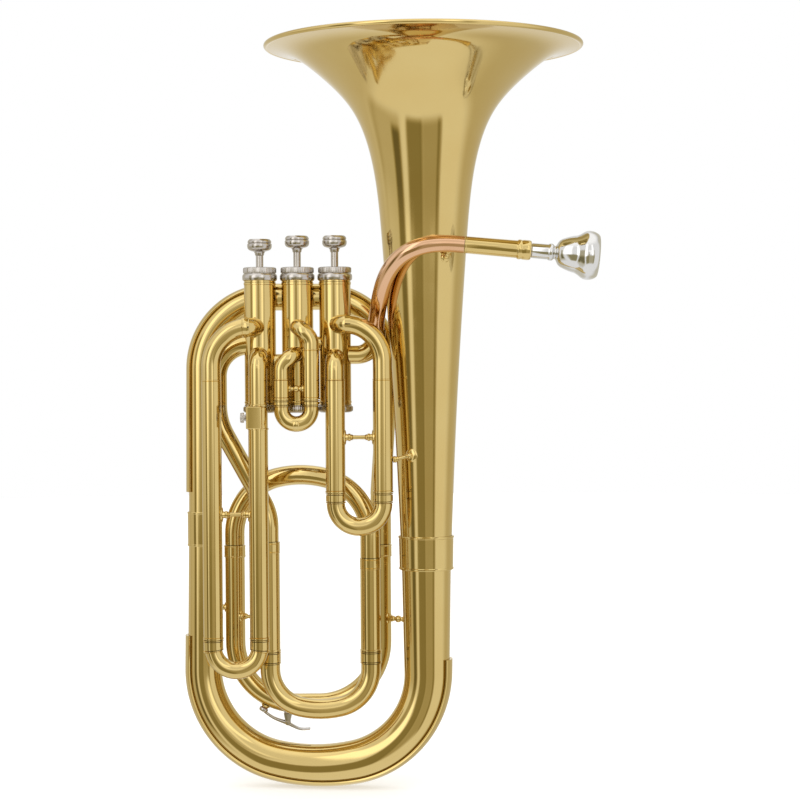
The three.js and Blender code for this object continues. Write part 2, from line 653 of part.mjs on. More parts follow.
const UPPER_CORNERS = [
  [[-57.5, FRONT_Y, SLIDE[0].upper, 7], [SLIDE[0].legs[1], FRONT_Y, SLIDE[0].upper, SLIDE[0].upperBend]],
  [[-88.6, FRONT_Y, SLIDE[1].upper, 7], [SLIDE[1].legs[1], FRONT_Y, 316.5, SLIDE[1].upperBend]],
  [[-123.5, FRONT_Y, SLIDE[2].upper, 7], [SLIDE[2].legs[1], FRONT_Y, SLIDE[2].upper, SLIDE[2].upperBend]],
];
const LOWER_CORNERS = [
  [[SLIDE[0].legs[0], FRONT_Y, SLIDE[0].lower, 9]],
  [[-92, FRONT_Y, SLIDE[1].lower, 7], [SLIDE[1].legs[0], FRONT_Y, 298.5, 9]],
  [[SLIDE[2].legs[0], FRONT_Y, SLIDE[2].lower, 9]],
];

SLIDE.forEach((slide, i) => {
  const n = i + 1;
  const [lowerX, upperX] = slide.legs;
  const [lowerTop, upperTop] = slide.sleeveTop;
  add(`slide_tube_${n}_upper`, slideTube(i, UPPER_CORNERS[i], upperX, upperTop, 0.6), brass);
  add(`slide_tube_${n}_lower`, slideTube(i, LOWER_CORNERS[i], lowerX, lowerTop, 0.4), brass);
  const [left, right] = [...slide.legs].sort((a, b) => a - b);
  const bendBottom = slide.bendZ - (right - left) / 2;
  const body = crook({
    left, right, y: FRONT_Y, innerTop: slide.innerTop, ferruleTop: slide.sleeveBottom - GAP,
    ferruleBottom: slide.ferruleBottom, lowest: bendBottom, tubeR: slide.tubeR,
    legR: slide.sleeveR - WALL - 2 * GAP, ferruleR: slide.sleeveR + 0.4,
  });
  const middle = (left + right) / 2;
  // The short second slide has a small pull knob on the front of its bend.
  const knob = turned(
    [[0, 0], [1.6, 0], [1.3, 2.4], [2.4, 3.2], [2.4, 4.4], [1.2, 5.2], [0, 5.2]], 10,
    vec(middle, FRONT_Y - slide.tubeR + 0.6, bendBottom), vec(0, -1, 0),
  );
  add(`slide_crook_${n}`, i === 1 ? join(body, knob) : body, brass);
  add(`brace_${n}`, stay(
    vec(left + slide.sleeveR + GAP, FRONT_Y, slide.braceZ),
    vec(right - slide.sleeveR - GAP, FRONT_Y, slide.braceZ),
    i === 1 ? { rodR: 1.1, footR: 2.6, ball: 2.4 } : { rodR: 1.6, footR: 4.4 },
  ), brass);
});

// ---------------------------------------------------------------- leadpipe and mouthpiece

add('leadpipe', tube(smoothRoute(LEADPIPE, 12), LEADPIPE_R), roseBrass);

// The elbow takes the leadpipe into valve 1; its ferrule holds the end of the leadpipe.
const elbowTop = LEADPIPE[0][2] - 1;
add('elbow', cut(tube(route(
  [ELBOW.x, ELBOW.y, elbowTop], [ELBOW.x, ELBOW.y, ELBOW.z, ELBOW.bend], [VALVE_X[0], 0, ELBOW.z],
), ELBOW.r, { bands: [{ from: -1, to: 4, r: ELBOW.ferruleR }] }), casingSpace(0)), brass);

const mouthAxis = vec(Math.cos(RECEIVER_TILT), 0, -Math.sin(RECEIVER_TILT));
const receiverStart = vec(...LEADPIPE.at(-1)).addScaledVector(mouthAxis, GAP);
const { length: receiverLength, bore: receiverBore, smallR, largeR, ringR, ringLength } = RECEIVER;
const ringStart = receiverLength - ringLength;
add('receiver', turned([
  [receiverBore, 0], [smallR, 0], [largeR, ringStart - 0.5], [ringR, ringStart], [ringR, receiverLength - 1],
  [ringR - 0.6, receiverLength], [receiverBore, receiverLength], [receiverBore, 0],
], 16, receiverStart, mouthAxis), brass);

// The shank of the mouthpiece sits in the receiver; the rest stands outside it.
const mouthStart = receiverStart.clone().addScaledVector(mouthAxis, receiverLength);
const { seat, bore: shankBore, r: shankR } = MOUTHPIECE_SHANK;
add('mouthpiece', turned([
  [shankBore, -seat], [shankR, -seat], [shankR, MOUTHPIECE[0][1]], ...MOUTHPIECE, [shankBore, -seat],
], 16, mouthStart, mouthAxis), silver);

// ---------------------------------------------------------------- lyre holder and water key

const lyreLeg = vec(SLIDE[2].legs[0], FRONT_Y, LYRE.z);
const lyreR = SLIDE[2].sleeveR;
const lyreX = lyreLeg.x - LYRE.left;
const lyreFrontY = FRONT_Y - lyreR - GAP;
const lyreMiddleY = lyreFrontY - LYRE.depth / 2;
function makeLyreHolder() {
  const overLeg = 4; // the block reaches back round the front of the leg
  const block = new THREE.BoxGeometry(LYRE.width, LYRE.depth + overLeg, LYRE.height);
  block.translate(lyreX, lyreMiddleY + overLeg / 2, LYRE.z);
  const leg = turned(rod(lyreR + GAP, -LYRE.height, LYRE.height), 20, lyreLeg);
  const socket = new THREE.BoxGeometry(LYRE.socket, LYRE.socket, LYRE.height + 2);
  socket.translate(lyreX, lyreMiddleY, LYRE.z);
  const screwHole = rodBetween(
    vec(lyreX - LYRE.width, lyreMiddleY, LYRE.z), vec(lyreX, lyreMiddleY, LYRE.z), 1.5,
  );
  return cut(block, leg, socket, screwHole);
}
add('lyre_holder', makeLyreHolder(), brass);
add('lyre_screw', turned(
  [[0, 0], [1.1, 0], [1.1, 3.6], [2.4, 3.8], [2.4, 4.2], [3.6, 4.5], [3.6, 6.8], [2.8, 7.2], [0, 7.2]], 12,
  vec(lyreX - LYRE.socket / 2, lyreMiddleY, LYRE.z), vec(-1, 0, 0),
), nickel);

// Water key at the lower left of the loop: a saddle under the tube, and a lever whose cork cup
// closes the nipple. Pressing the finger end towards the tube opens it.
const pivot = vec(KEY.pivotX, BACK_Y, KEY.pivotZ);
function makeSaddle() {
  const bridgeZ = LOOP.bottom - LOOP.r - 1;
  const cheekLow = pivot.z - 1.8;
  const cheeks = [-1, 1].map((side) => {
    const cheek = new THREE.BoxGeometry(4.4, 1, bridgeZ - cheekLow + 2);
    return cheek.translate(pivot.x, pivot.y + side * 3.4, (bridgeZ + 2 + cheekLow) / 2);
  });
  const bridge = new THREE.BoxGeometry(6.4, 7.8, 1.2).translate(pivot.x, pivot.y, bridgeZ);
  const pin = rodBetween(
    vec(pivot.x, pivot.y - 4.2, pivot.z), vec(pivot.x, pivot.y + 4.2, pivot.z), KEY.pinR, 8,
  );
  const clear = turned(
    rod(LOOP.r + GAP, -20, 20), 20, vec(pivot.x, pivot.y, LOOP.bottom + 0.6), vec(1, 0, -0.1),
  );
  return cut(join(bridge, ...cheeks, pin), clear);
}
add('water_key_saddle', makeSaddle(), nickel);

function makeKeyLever() {
  const cupFoot = nippleFoot.clone().addScaledVector(nippleOut, KEY.nipple + NIPPLE_SUNK + GAP);
  const cup = turned(
    [[0, 0], [2.8, 0], [3.3, 0.4], [3.3, 1.8], [2.4, 2.4], [0, 2.4]], 12, cupFoot, nippleOut,
  );
  const arm = [
    cupFoot.addScaledVector(nippleOut, 1.2), vec(-110.4, BACK_Y, 42.4), vec(pivot.x, BACK_Y, pivot.z - 1),
    vec(-91.5, BACK_Y, 34.2), vec(-84.6, BACK_Y, 34.3),
  ];
  const half = [[1, 1.3], [1.1, 2], [1.7, 1.9], [0.9, 3.4], [0.7, 4.2]]; // half thickness, half width
  const loops = arm.map((p, i) => {
    const along = arm[Math.min(i + 1, 4)].clone().sub(arm[Math.max(i - 1, 0)]).normalize();
    const up = vec(0, 1, 0).cross(along).normalize();
    return [[1, -1], [1, 1], [-1, 1], [-1, -1]].map(([u, w]) => p.clone()
      .addScaledVector(up, u * half[i][0]).addScaledVector(vec(0, 1, 0), w * half[i][1]));
  });
  const pinHole = rodBetween(
    vec(pivot.x, pivot.y - 9, pivot.z), vec(pivot.x, pivot.y + 9, pivot.z), KEY.pinR + GAP, 8,
  );
  return cut(join(cappedSkin(loops), cup), pinHole);
}
add('water_key_lever', makeKeyLever(), nickel);

// ---------------------------------------------------------------- stays between the tubes

// A stay between two upright round tubes, [x, y, radius], at one height.
function stayBetween(a, b, z, options) {
  const [from, to] = [vec(a[0], a[1], z), vec(b[0], b[1], z)];
  const out = to.clone().sub(from).normalize();
  return stay(
    from.addScaledVector(out, a[2] + GAP), to.addScaledVector(out, -b[2] - GAP), options,
  );
}

const bowStayZ = 114.6;
const bowR = bottomBowRadius(BELL_PROFILE[0][0] - bowStayZ);
add('bow_stay', stayBetween([LOOP.right, BACK_Y, LOOP.r], [0, 0, bowR], bowStayZ, { ball: 2.6 }), brass);
add('loop_stay', stayBetween(
  [LOOP.left, BACK_Y, LOOP.r], [TUNING.left, TUNING.y, TUNING.sleeveR], 117,
), brass);

// A stay from another piece to the bell: a rod whose round foot lies against the bell's side.
function stayToBell(from, angle, z, footR) {
  const out = vec(Math.cos(angle), Math.sin(angle), 0);
  const onBell = out.clone().multiplyScalar(bellRadius(z) + 2 * GAP).setZ(z);
  const foot = turned(rod(footR, 0, 1), 10, onBell, out);
  return join(foot, rodBetween(from, onBell.addScaledVector(out, 0.5), 1.4, 8));
}

const sleeveSide = vec(SLIDE[0].legs[1] + SLIDE[0].sleeveR + GAP, FRONT_Y, 231);
add('bell_stay', stayToBell(sleeveSide, THREE.MathUtils.degToRad(240), 234, 4.4), brass);
const pipeBack = vec(18, -38, 381.1).addScaledVector(vec(-0.2, 0.8, -0.57).normalize(), LEADPIPE_R + GAP);
add('leadpipe_stay', stayToBell(pipeBack, THREE.MathUtils.degToRad(299), 372.5, 3), brass);

// ---------------------------------------------------------------- origin

const bounds = new THREE.Box3().setFromObject(horn, true);
horn.position.set(-BOW_LEFT_X / 2, -BACK_Y / 2, -bounds.min.z);

export default horn;
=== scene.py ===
"""Looks of the baritone horn: fine metal pieces, lacquer and plate, studio light and camera.

Sizes are in millimetres in the horn's design frame: the bell axis is the line X = 0, Y = 0, and +Z is up.
The frame's own boxes say where that frame lies, and piece() moves every mesh into it, in metres.
"""

import math

import bpy
import numpy as np
from mathutils import Matrix, Vector


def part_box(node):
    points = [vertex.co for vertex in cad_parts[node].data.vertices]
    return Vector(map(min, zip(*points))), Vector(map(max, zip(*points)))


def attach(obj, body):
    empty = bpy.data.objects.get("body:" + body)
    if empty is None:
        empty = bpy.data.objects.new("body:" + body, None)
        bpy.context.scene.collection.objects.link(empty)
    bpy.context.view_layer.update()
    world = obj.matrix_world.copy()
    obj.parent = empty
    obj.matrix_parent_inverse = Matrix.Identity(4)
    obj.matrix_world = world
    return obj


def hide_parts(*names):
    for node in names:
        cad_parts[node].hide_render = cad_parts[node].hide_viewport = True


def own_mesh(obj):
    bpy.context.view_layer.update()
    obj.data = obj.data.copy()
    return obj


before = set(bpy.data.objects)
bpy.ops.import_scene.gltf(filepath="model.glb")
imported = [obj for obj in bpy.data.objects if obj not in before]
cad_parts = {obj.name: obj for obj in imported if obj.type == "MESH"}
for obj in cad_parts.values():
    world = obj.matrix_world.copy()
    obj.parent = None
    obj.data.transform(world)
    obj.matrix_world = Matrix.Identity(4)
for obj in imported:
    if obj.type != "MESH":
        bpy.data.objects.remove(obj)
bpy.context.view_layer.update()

MM = 0.001
bell_low, bell_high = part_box("bell")
RIM_TOP = 524.54  # height of the flat top of the bell's rim
SHIFT = Vector((
    (bell_low.x + bell_high.x) / 2, (bell_low.y + bell_high.y) / 2, bell_high.z - RIM_TOP * MM,
))

# ---------------------------------------------------------------- driving dimensions

WALL = 0.8
GAP = 0.35
BEND_STEP = math.radians(4)  # arc between two rings of a bend
STRAIGHT_STEP = 14  # longest stretch between two rings of a straight tube
SIDES = 44  # round a tube
EDGE = 0.25  # chamfer on turned edges

BACK_Y = 22
FRONT_Y = -20

BELL_PROFILE = [
    (164, 17.9), (270, 22.6), (380, 29.8), (420, 33.4), (450, 39), (478, 50.7), (500, 70.5),
    (510, 82.5), (516.3, 92), (519.6, 101), (521.3, 110.6),
]
RIM_Z, RIM_R, BEAD = 523.4, 113, 1.9
BELL_FERRULE = (152, 176)

BOW_LEFT_X = -160.4
BOW_LOWEST, BOW_SIDE, BOW_MIDDLE = 10.8, 66.3, 134.2
BOW_LEFT_TOP = 180
BOW_LARGE_R, BOW_MID_R, BOW_SMALL_R = 17.7, 14, 10.6
TOP_BOW_Z = 345.7
TOP_BOW_LARGE_R, TOP_BOW_SMALL_R = 10.6, 7.4
LEFT_FERRULE = (167.7, 192.4, 11.7)
GUARD_GAP, GUARD_THICK, GUARD_HALF = 0.9, 1.1, math.radians(40)
GUARD_SEAT = 0.15  # the plate's inner face over the tube; GAP and THICK give its outer one

LOOP_LEFT, LOOP_RIGHT, LOOP_BOTTOM, LOOP_BEND, LOOP_TOP, LOOP_R = -138, -32.4, 52.8, 45, 168, 7.1
ARCH_HIGHEST, ARCH_SIDE, ARCH_MIDDLE, ARCH_R = 219, 42, 76, 7.1
TUNING_Y, TUNING_LEFT, TUNING_RIGHT = 2, -111.8, -39.9
TUNING_LEFT_TOP, TUNING_RIGHT_TOP = 172, 160
TUNING_SLEEVE_R, TUNING_TUBE_R, TUNING_FERRULE = 7.3, 7.1, (84.8, 93.4)
TUNING_LOWEST, TUNING_SIDE, TUNING_MIDDLE = 51.9, 28, 63

VALVE_X = (-63.8, -90.4, -117)
CASING_R, CASING_BORE, CASING_LOW, CASING_HIGH = 11.2, 10, 267.2, 360.6
BOTTOM_CAP_R, BOTTOM_CAP = 12.4, (264, 269.6)
TOP_CAP_R, TOP_CAP = 12.4, (357.6, 367.2)
PISTON_R, PISTON = 9.6, (287, 357.8)
STEM_R = 2.65
BUTTON_R, BUTTON_HEIGHT, BUTTON_UNDER = 8.7, 8.3, (381, 381, 378.8)
FELT_R, FELT_HEIGHT = 6.5, 2.4
SPRING_R, SPRING_WIRE, SPRING_TURNS = 6.2, 0.55, 7

# Valve slides: where the two tubes leave the casing, and the U crook that hangs from them.
SLIDES = [
    dict(legs=(-63.6, -30.3), sleeve_top=(288, 288), sleeve_bottom=208.3,
         sleeve_r=6.9, inner_top=277, ferrule_bottom=200.8, bend_z=200.7, tube_r=6.5, brace_z=247),
    dict(legs=(-101.1, -80.4), sleeve_top=(288.3, 309), sleeve_bottom=273.8,
         sleeve_r=6, inner_top=288, ferrule_bottom=268.8, bend_z=266.9, tube_r=5.5, brace_z=281.3),
    dict(legs=(-117.7, -150.3), sleeve_top=(269.4, 288), sleeve_bottom=105.6,
         sleeve_r=6.9, inner_top=250, ferrule_bottom=97, bend_z=99.7, tube_r=6.1, brace_z=193.2),
]
UPPER_CORNERS = [
    [(-57.5, FRONT_Y, 326.5, 7), (-30.3, FRONT_Y, 326.5, 26)],
    [(-88.6, FRONT_Y, 324.5, 7), (-80.4, FRONT_Y, 316.5, 9)],
    [(-123.5, FRONT_Y, 324.6, 7), (-150.3, FRONT_Y, 324.6, 27)],
]
LOWER_CORNERS = [
    [(-63.6, FRONT_Y, 303, 9)],
    [(-92, FRONT_Y, 305.5, 7), (-101.1, FRONT_Y, 298.5, 9)],
    [(-117.7, FRONT_Y, 304.5, 9)],
]

LEADPIPE_R = 5.9
LEADPIPE = [
    (-34.9, 1, 320.5), (-34.8, 0.6, 325), (-34, -3.2, 332), (-32.6, -9.5, 340), (-30.2, -17.4, 351),
    (-26, -25, 361.6), (-19.6, -31.6, 370.2), (-10.6, -36.4, 376.6), (0, -38, 380.2),
    (12, -38, 381.4), (27, -38, 380.5),
]
ELBOW_X, ELBOW_Y, ELBOW_Z, ELBOW_BEND, ELBOW_R, ELBOW_FERRULE_R = -34.9, 1, 304.8, 13.5, 6.6, 7.3
MOUTH_TILT = math.radians(5.3)
RECEIVER_LENGTH = 46
MOUTHPIECE_SEAT = 22

LYRE_Z, LYRE_HEIGHT, LYRE_WIDTH, LYRE_DEPTH, LYRE_SOCKET, LYRE_LEFT = 261.6, 15.4, 11, 7.4, 4.8, 2
KEY_ANGLE, NIPPLE = math.radians(243), 1.4
KEY_PIVOT = (-100.5, BACK_Y, 39.2)

CAMERA_PLACE = (-20.3, -1456, 308.3)
CAMERA_LENS = 92.2
CAMERA_TILT, CAMERA_PAN, CAMERA_ROLL = (math.radians(a) for a in (1.41, 0.09, -0.37))


# ---------------------------------------------------------------- materials

def shader(name):
    """A new material, its node tree and its Principled node."""
    made = bpy.data.materials.new(name)
    made.use_nodes = True
    tree = made.node_tree
    return made, tree, tree.nodes["Principled BSDF"]


def node(tree, kind, inputs=None, **settings):
    made = tree.nodes.new(kind)
    for key, value in settings.items():
        setattr(made, key, value)
    for key, value in (inputs or {}).items():
        made.inputs[key].default_value = value
    return made


def noise(tree, scale, detail=3, stretch=(1, 1, 1)):
    """A noise pattern in the horn's own space, stretched along its axes."""
    place = node(tree, "ShaderNodeTexCoord")
    mapping = node(tree, "ShaderNodeMapping", {"Scale": stretch})
    tree.links.new(place.outputs["Object"], mapping.inputs["Vector"])
    made = node(tree, "ShaderNodeTexNoise", {"Scale": scale, "Detail": detail})
    tree.links.new(mapping.outputs["Vector"], made.inputs["Vector"])
    return made.outputs["Fac"]


def ramp(tree, factor, low, high, from_range=(0.3, 0.7)):
    """Maps a factor onto a range of numbers."""
    made = node(tree, "ShaderNodeMapRange", {
        "From Min": from_range[0], "From Max": from_range[1], "To Min": low, "To Max": high,
    })
    tree.links.new(factor, made.inputs["Value"])
    return made.outputs["Result"]


def blended(tree, factor, low, high):
    """A colour between two, by a factor."""
    made = node(tree, "ShaderNodeMix", data_type="RGBA")
    made.inputs["A"].default_value = (*low, 1)
    made.inputs["B"].default_value = (*high, 1)
    tree.links.new(factor, made.inputs["Factor"])
    return made.outputs["Result"]


def bumped(tree, principled, height, strength, distance):
    """Small relief on a material's surface."""
    bump = node(tree, "ShaderNodeBump", {"Strength": strength, "Distance": distance})
    tree.links.new(height, bump.inputs["Height"])
    tree.links.new(bump.outputs["Normal"], principled.inputs["Normal"])


def metal(name, pale, deep, rough, scratch=0.1, coat=0.0, patch=26):
    """Polished metal: its colour drifts between two tones, and fine handling marks break its gloss."""
    made, tree, principled = shader(name)
    principled.inputs["Metallic"].default_value = 1
    principled.inputs["Coat Weight"].default_value = coat
    principled.inputs["Coat Roughness"].default_value = 0.06
    colour = blended(tree, ramp(tree, noise(tree, patch, 4), 0, 1), deep, pale)
    tree.links.new(colour, principled.inputs["Base Color"])
    smudge = ramp(tree, noise(tree, 90, 5), rough[0], rough[1])
    tree.links.new(smudge, principled.inputs["Roughness"])
    bumped(tree, principled, noise(tree, 1500, 2, (1, 1, 0.12)), scratch, 0.00003)
    return made


def felt_material():
    made, tree, principled = shader("felt_fibres")
    principled.inputs["Roughness"].default_value = 0.95
    principled.inputs["Sheen Weight"].default_value = 0.4
    fibres = noise(tree, 4000, 4)
    colour = blended(tree, fibres, (0.008, 0.02, 0.012), (0.03, 0.06, 0.035))
    tree.links.new(colour, principled.inputs["Base Color"])
    bumped(tree, principled, fibres, 0.6, 0.0002)
    return made


def cork_material():
    made, tree, principled = shader("cork_grain")
    principled.inputs["Roughness"].default_value = 0.85
    grain = ramp(tree, noise(tree, 1800, 4), 0, 1)
    colour = blended(tree, grain, (0.30, 0.14, 0.09), (0.55, 0.30, 0.19))
    tree.links.new(colour, principled.inputs["Base Color"])
    return made


BRASS = metal("brass_lacquer", (0.71, 0.545, 0.225), (0.69, 0.515, 0.2), (0.05, 0.1), 0.05, 0.15)
ROSE = metal("rose_brass_lacquer", (0.78, 0.49, 0.30), (0.74, 0.44, 0.25), (0.06, 0.12), 0.06, 0.15)
NICKEL = metal("nickel_plate", (0.62, 0.585, 0.545), (0.52, 0.485, 0.45), (0.12, 0.22), 0.12)
SILVER = metal("silver_plate", (0.76, 0.76, 0.755), (0.68, 0.675, 0.665), (0.06, 0.12), 0.06)
STEEL = metal("spring_wire", (0.55, 0.55, 0.56), (0.42, 0.42, 0.44), (0.25, 0.35), 0.2)
FELT = felt_material()
CORK = cork_material()


# ---------------------------------------------------------------- mesh helpers

class Shape:
    """Points in millimetres and the faces between them, gathered from one or more closed skins."""

    def __init__(self):
        self.points, self.faces = [], []

    def add(self, points, faces):
        first = len(self.points)
        self.points += [Vector(p) for p in points]
        self.faces += [[first + i for i in face] for face in faces]
        return self


def piece(name, shape, material, body, *nodes, sharp=32):
    """Makes the shape a piece that rides on a CAD body and stands for these CAD nodes."""
    mesh = bpy.data.meshes.new(name)
    mesh.from_pydata([SHIFT + p * MM for p in shape.points], [], shape.faces)
    mesh.polygons.foreach_set("use_smooth", [True] * len(mesh.polygons))
    mesh.set_sharp_from_angle(angle=math.radians(sharp))
    mesh.materials.append(material)
    made = bpy.data.objects.new(name, mesh)
    bpy.context.scene.collection.objects.link(made)
    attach(made, body)
    if nodes:
        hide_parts(*nodes)
    return made


def skin(loops, closed=True):
    """A skin over loops of points; closed joins the last loop to the first, or else both ends get a lid."""
    sides, count = len(loops[0]), len(loops)
    faces = []
    for i in range(count if closed else count - 1):
        a, b = i * sides, (i + 1) % count * sides
        faces += [[a + j, a + (j + 1) % sides, b + (j + 1) % sides, b + j] for j in range(sides)]
    if not closed:
        faces.append(list(range(sides))[::-1])
        faces.append([(count - 1) * sides + j for j in range(sides)])
    return [p for loop in loops for p in loop], faces


def axes_for(direction):
    """Two directions square to this one and to each other."""
    helper = Vector((1, 0, 0)) if abs(direction.z) > 0.9 else Vector((0, 0, 1))
    u = (helper - direction * helper.dot(direction)).normalized()
    return u, direction.cross(u)


def turned(shape, profile, at=(0, 0, 0), direction=(0, 0, 1), segments=SIDES, wave=None):
    """Adds a profile of (radius, height) turned about a direction. It starts and ends on the axis, or closes
    on itself. wave(radius, height, angle) may return another radius, for knurls."""
    at, direction = Vector(at), Vector(direction).normalized()
    u, v = axes_for(direction)
    on_axis = profile[0][0] == 0
    rims = profile[1:-1] if on_axis else profile[:-1]
    angles = [2 * math.pi * (j + 0.5) / segments for j in range(segments)]
    loops = []
    for r, h in rims:
        radii = [wave(r, h, a) if wave else r for a in angles]
        loops.append([
            at + direction * h + u * (radii[j] * math.cos(a)) + v * (radii[j] * math.sin(a))
            for j, a in enumerate(angles)
        ])
    points, faces = skin(loops, closed=not on_axis)
    if on_axis:
        faces = faces[:-2]
        for loop, height, order in ((0, profile[0][1], -1), (len(loops) - 1, profile[-1][1], 1)):
            points.append(at + direction * height)
            ring = [[loop * segments + j, loop * segments + (j + 1) % segments] for j in range(segments)]
            faces += [(pair if order == 1 else pair[::-1]) + [len(points) - 1] for pair in ring]
    return shape.add(points, faces)


def eased(profile, size=EDGE):
    """The profile with each clear corner cut by a small chamfer."""
    kept = [profile[0]]
    for before, here, after in zip(profile, profile[1:], profile[2:]):
        a, b, c = Vector(before), Vector(here), Vector(after)
        into, out = b - a, c - b
        if min(into.length, out.length) < 2.2 * size or into.angle(out, 0) < 0.6:
            kept.append(here)
            continue
        kept += [tuple(b - into.normalized() * size), tuple(b + out.normalized() * size)]
    return kept + [profile[-1]]


def sleeve(inner, outer, low, high):
    """A ring's profile between two heights, closed on itself."""
    return [
        (inner, low), (outer - EDGE, low), (outer, low + EDGE), (outer, high - EDGE),
        (outer - EDGE, high), (inner, high), (inner, low),
    ]


def route(*corners, step=BEND_STEP):
    """Stations (point, direction, distance) along a polyline whose inner corners, (x, y, z, bend radius),
    are rounded by arcs."""
    points = [Vector(c[:3]) for c in corners]
    stations = []

    def push(point, direction):
        if not stations:
            stations.append((point, direction, 0))
            return
        last, start, along = stations[-1]
        gap = (point - last).length
        if gap < 0.01:
            return
        pieces = max(1, math.ceil(gap / STRAIGHT_STEP))
        for k in range(1, pieces):
            stations.append((last.lerp(point, k / pieces), start, along + gap * k / pieces))
        stations.append((point, direction, along + gap))

    push(points[0], (points[1] - points[0]).normalized())
    for i in range(1, len(points) - 1):
        before = (points[i] - points[i - 1]).normalized()
        after = (points[i + 1] - points[i]).normalized()
        angle, radius = before.angle(after), corners[i][3]
        inward = (after - before * before.dot(after)).normalized()
        start = points[i] - before * (radius * math.tan(angle / 2))
        centre = start + inward * radius
        steps = math.ceil(angle / step)
        for k in range(steps + 1):
            a = angle * k / steps
            push(centre - inward * (radius * math.cos(a)) + before * (radius * math.sin(a)),
                 before * math.cos(a) + inward * math.sin(a))
    push(points[-1], (points[-1] - points[-2]).normalized())
    return stations


def arch_corners(start, end, tip, side, middle, way=1):
    """Corners of a U between two upright legs, (x, y): tight sides and a middle of larger radius whose
    furthest point is at height tip. A negative way turns the U over, as an arch."""
    half = math.hypot(end[0] - start[0], end[1] - start[1]) / 2
    turn = math.asin((half - side) / (middle - side))
    depth = middle - (middle - side) * math.cos(turn)
    shoulder = tip + way * (depth - side * math.tan((math.pi / 2 - turn) / 2))
    beyond = tip - way * middle * (1 / math.cos(turn) - 1)
    return (
        (*start, shoulder, side), ((start[0] + end[0]) / 2, (start[1] + end[1]) / 2, beyond, middle),
        (*end, shoulder, side),
    )


def spline(knots, count):
    """Points on a natural cubic spline through the knots, evenly spaced, with their directions."""
    knots = np.array(knots, float)
    t = np.concatenate([[0], np.cumsum(np.linalg.norm(np.diff(knots, axis=0), axis=1))])
    n, h = len(t), np.diff(t)
    system, right = np.eye(n), np.zeros_like(knots)
    for i in range(1, n - 1):
        system[i, i - 1:i + 2] = h[i - 1], 2 * (h[i - 1] + h[i]), h[i]
        right[i] = 6 * ((knots[i + 1] - knots[i]) / h[i] - (knots[i] - knots[i - 1]) / h[i - 1])
    bend = np.linalg.solve(system, right)

    def at(x):
        i = np.clip(np.searchsorted(t, x) - 1, 0, n - 2)
        a, b, width = (t[i + 1] - x)[:, None], (x - t[i])[:, None], h[i][:, None]
        return (
            (bend[i] * a**3 + bend[i + 1] * b**3) / (6 * width)
            + (knots[i] / width - bend[i] * width / 6) * a
            + (knots[i + 1] / width - bend[i + 1] * width / 6) * b
        )

    x = np.linspace(0, t[-1], count + 1)
    nudge = t[-1] * 1e-4
    slope = at(np.minimum(x + nudge, t[-1])) - at(np.maximum(x - nudge, 0))
    return at(x), slope / np.linalg.norm(slope, axis=1)[:, None]


def smooth_route(knots, count):
    points, directions = spline(knots, count)
    along = np.concatenate([[0], np.cumsum(np.linalg.norm(np.diff(points, axis=0), axis=1))])
    return [(Vector(p), Vector(d), s) for p, d, s in zip(points, directions, along)]


def length_of(stations):
    return stations[-1][2]


def station_at(stations, along):
    for (p, d, s), (q, e, t) in zip(stations, stations[1:]):
        if s <= along <= t:
            k = (along - s) / (t - s)
            return p.lerp(q, k), d.lerp(e, k).normalized(), along
    return stations[-1] if along > stations[-1][2] / 2 else stations[0]


def framed(stations, up=None):
    """Each station with two cross axes that turn with the route but never twist about it."""
    u = up if up else axes_for(stations[0][1])[0]
    made = []
    for point, direction, along in stations:
        u = (u - direction * u.dot(direction)).normalized()
        made.append((point, direction, along, u, direction.cross(u)))
    return made


def on_upright(point, direction, centre, radius):
    """Slides a point along a direction onto the upright cylinder of that centre line and radius."""
    px, py = point.x - centre[0], point.y - centre[1]
    a = direction.x**2 + direction.y**2
    b = px * direction.x + py * direction.y
    c = px * px + py * py - radius * radius
    root = math.sqrt(max(0, b * b - a * c))
    far = (-b + root) / a
    near = (-b - root) / a
    return point + direction * (far if abs(far) < abs(near) else near)


def tube(shape, stations, radius, wall=WALL, sides=SIDES, bore=None, start_on=None, end_on=None):
    """Adds an open-ended tube. radius is a number, a function of the distance, or (distance, radius) steps.
    start_on and end_on are (centre, radius) of an upright cylinder that the end is trimmed to."""
    steps = radius if isinstance(radius, list) else []
    if steps:
        at = lambda s: float(np.interp(s, [x for x, _ in steps], [r for _, r in steps]))
    else:
        at = radius if callable(radius) else lambda s: radius
    base = bore or (lambda s: (min(r for _, r in steps) if steps else at(s)) - wall)
    total = length_of(stations)
    known = [s for _, _, s in stations]
    extra = [x for x, _ in steps if 0.02 < x < total - 0.02 and min(abs(x - s) for s in known) > 0.02]
    outer = framed(sorted(stations + [station_at(stations, x) for x in extra], key=lambda s: s[2]))
    inner = framed(stations)

    def loop(station, r):
        point, _, _, u, v = station
        angles = [2 * math.pi * (j + 0.5) / sides for j in range(sides)]
        return [point + u * (r * math.cos(a)) + v * (r * math.sin(a)) for a in angles]

    outside = [loop(s, at(s[2])) for s in outer]
    inside = [loop(s, base(s[2]) if callable(base) else base) for s in inner]
    for end, where in ((0, start_on), (-1, end_on)):
        if where:
            for loops, line in ((outside, outer), (inside, inner)):
                loops[end] = [on_upright(p, line[end][1], *where) for p in loops[end]]
    return shape.add(*skin(outside + inside[::-1]))


def steps_of(total, plain, *bands):
    """(distance, radius) steps of a tube with proud, chamfered bands (from, to, radius)."""
    made = [(0, plain)]
    for low, high, r in bands:
        ease = min(EDGE, (high - low) / 3)
        if low > 0:
            made += [(low, plain), (low + ease, r)]
        else:
            made[0] = (0, r)
        made += [(high - ease, r), (high, plain)] if high < total else [(total, r)]
    if made[-1][0] < total:
        made.append((total, plain))
    return made


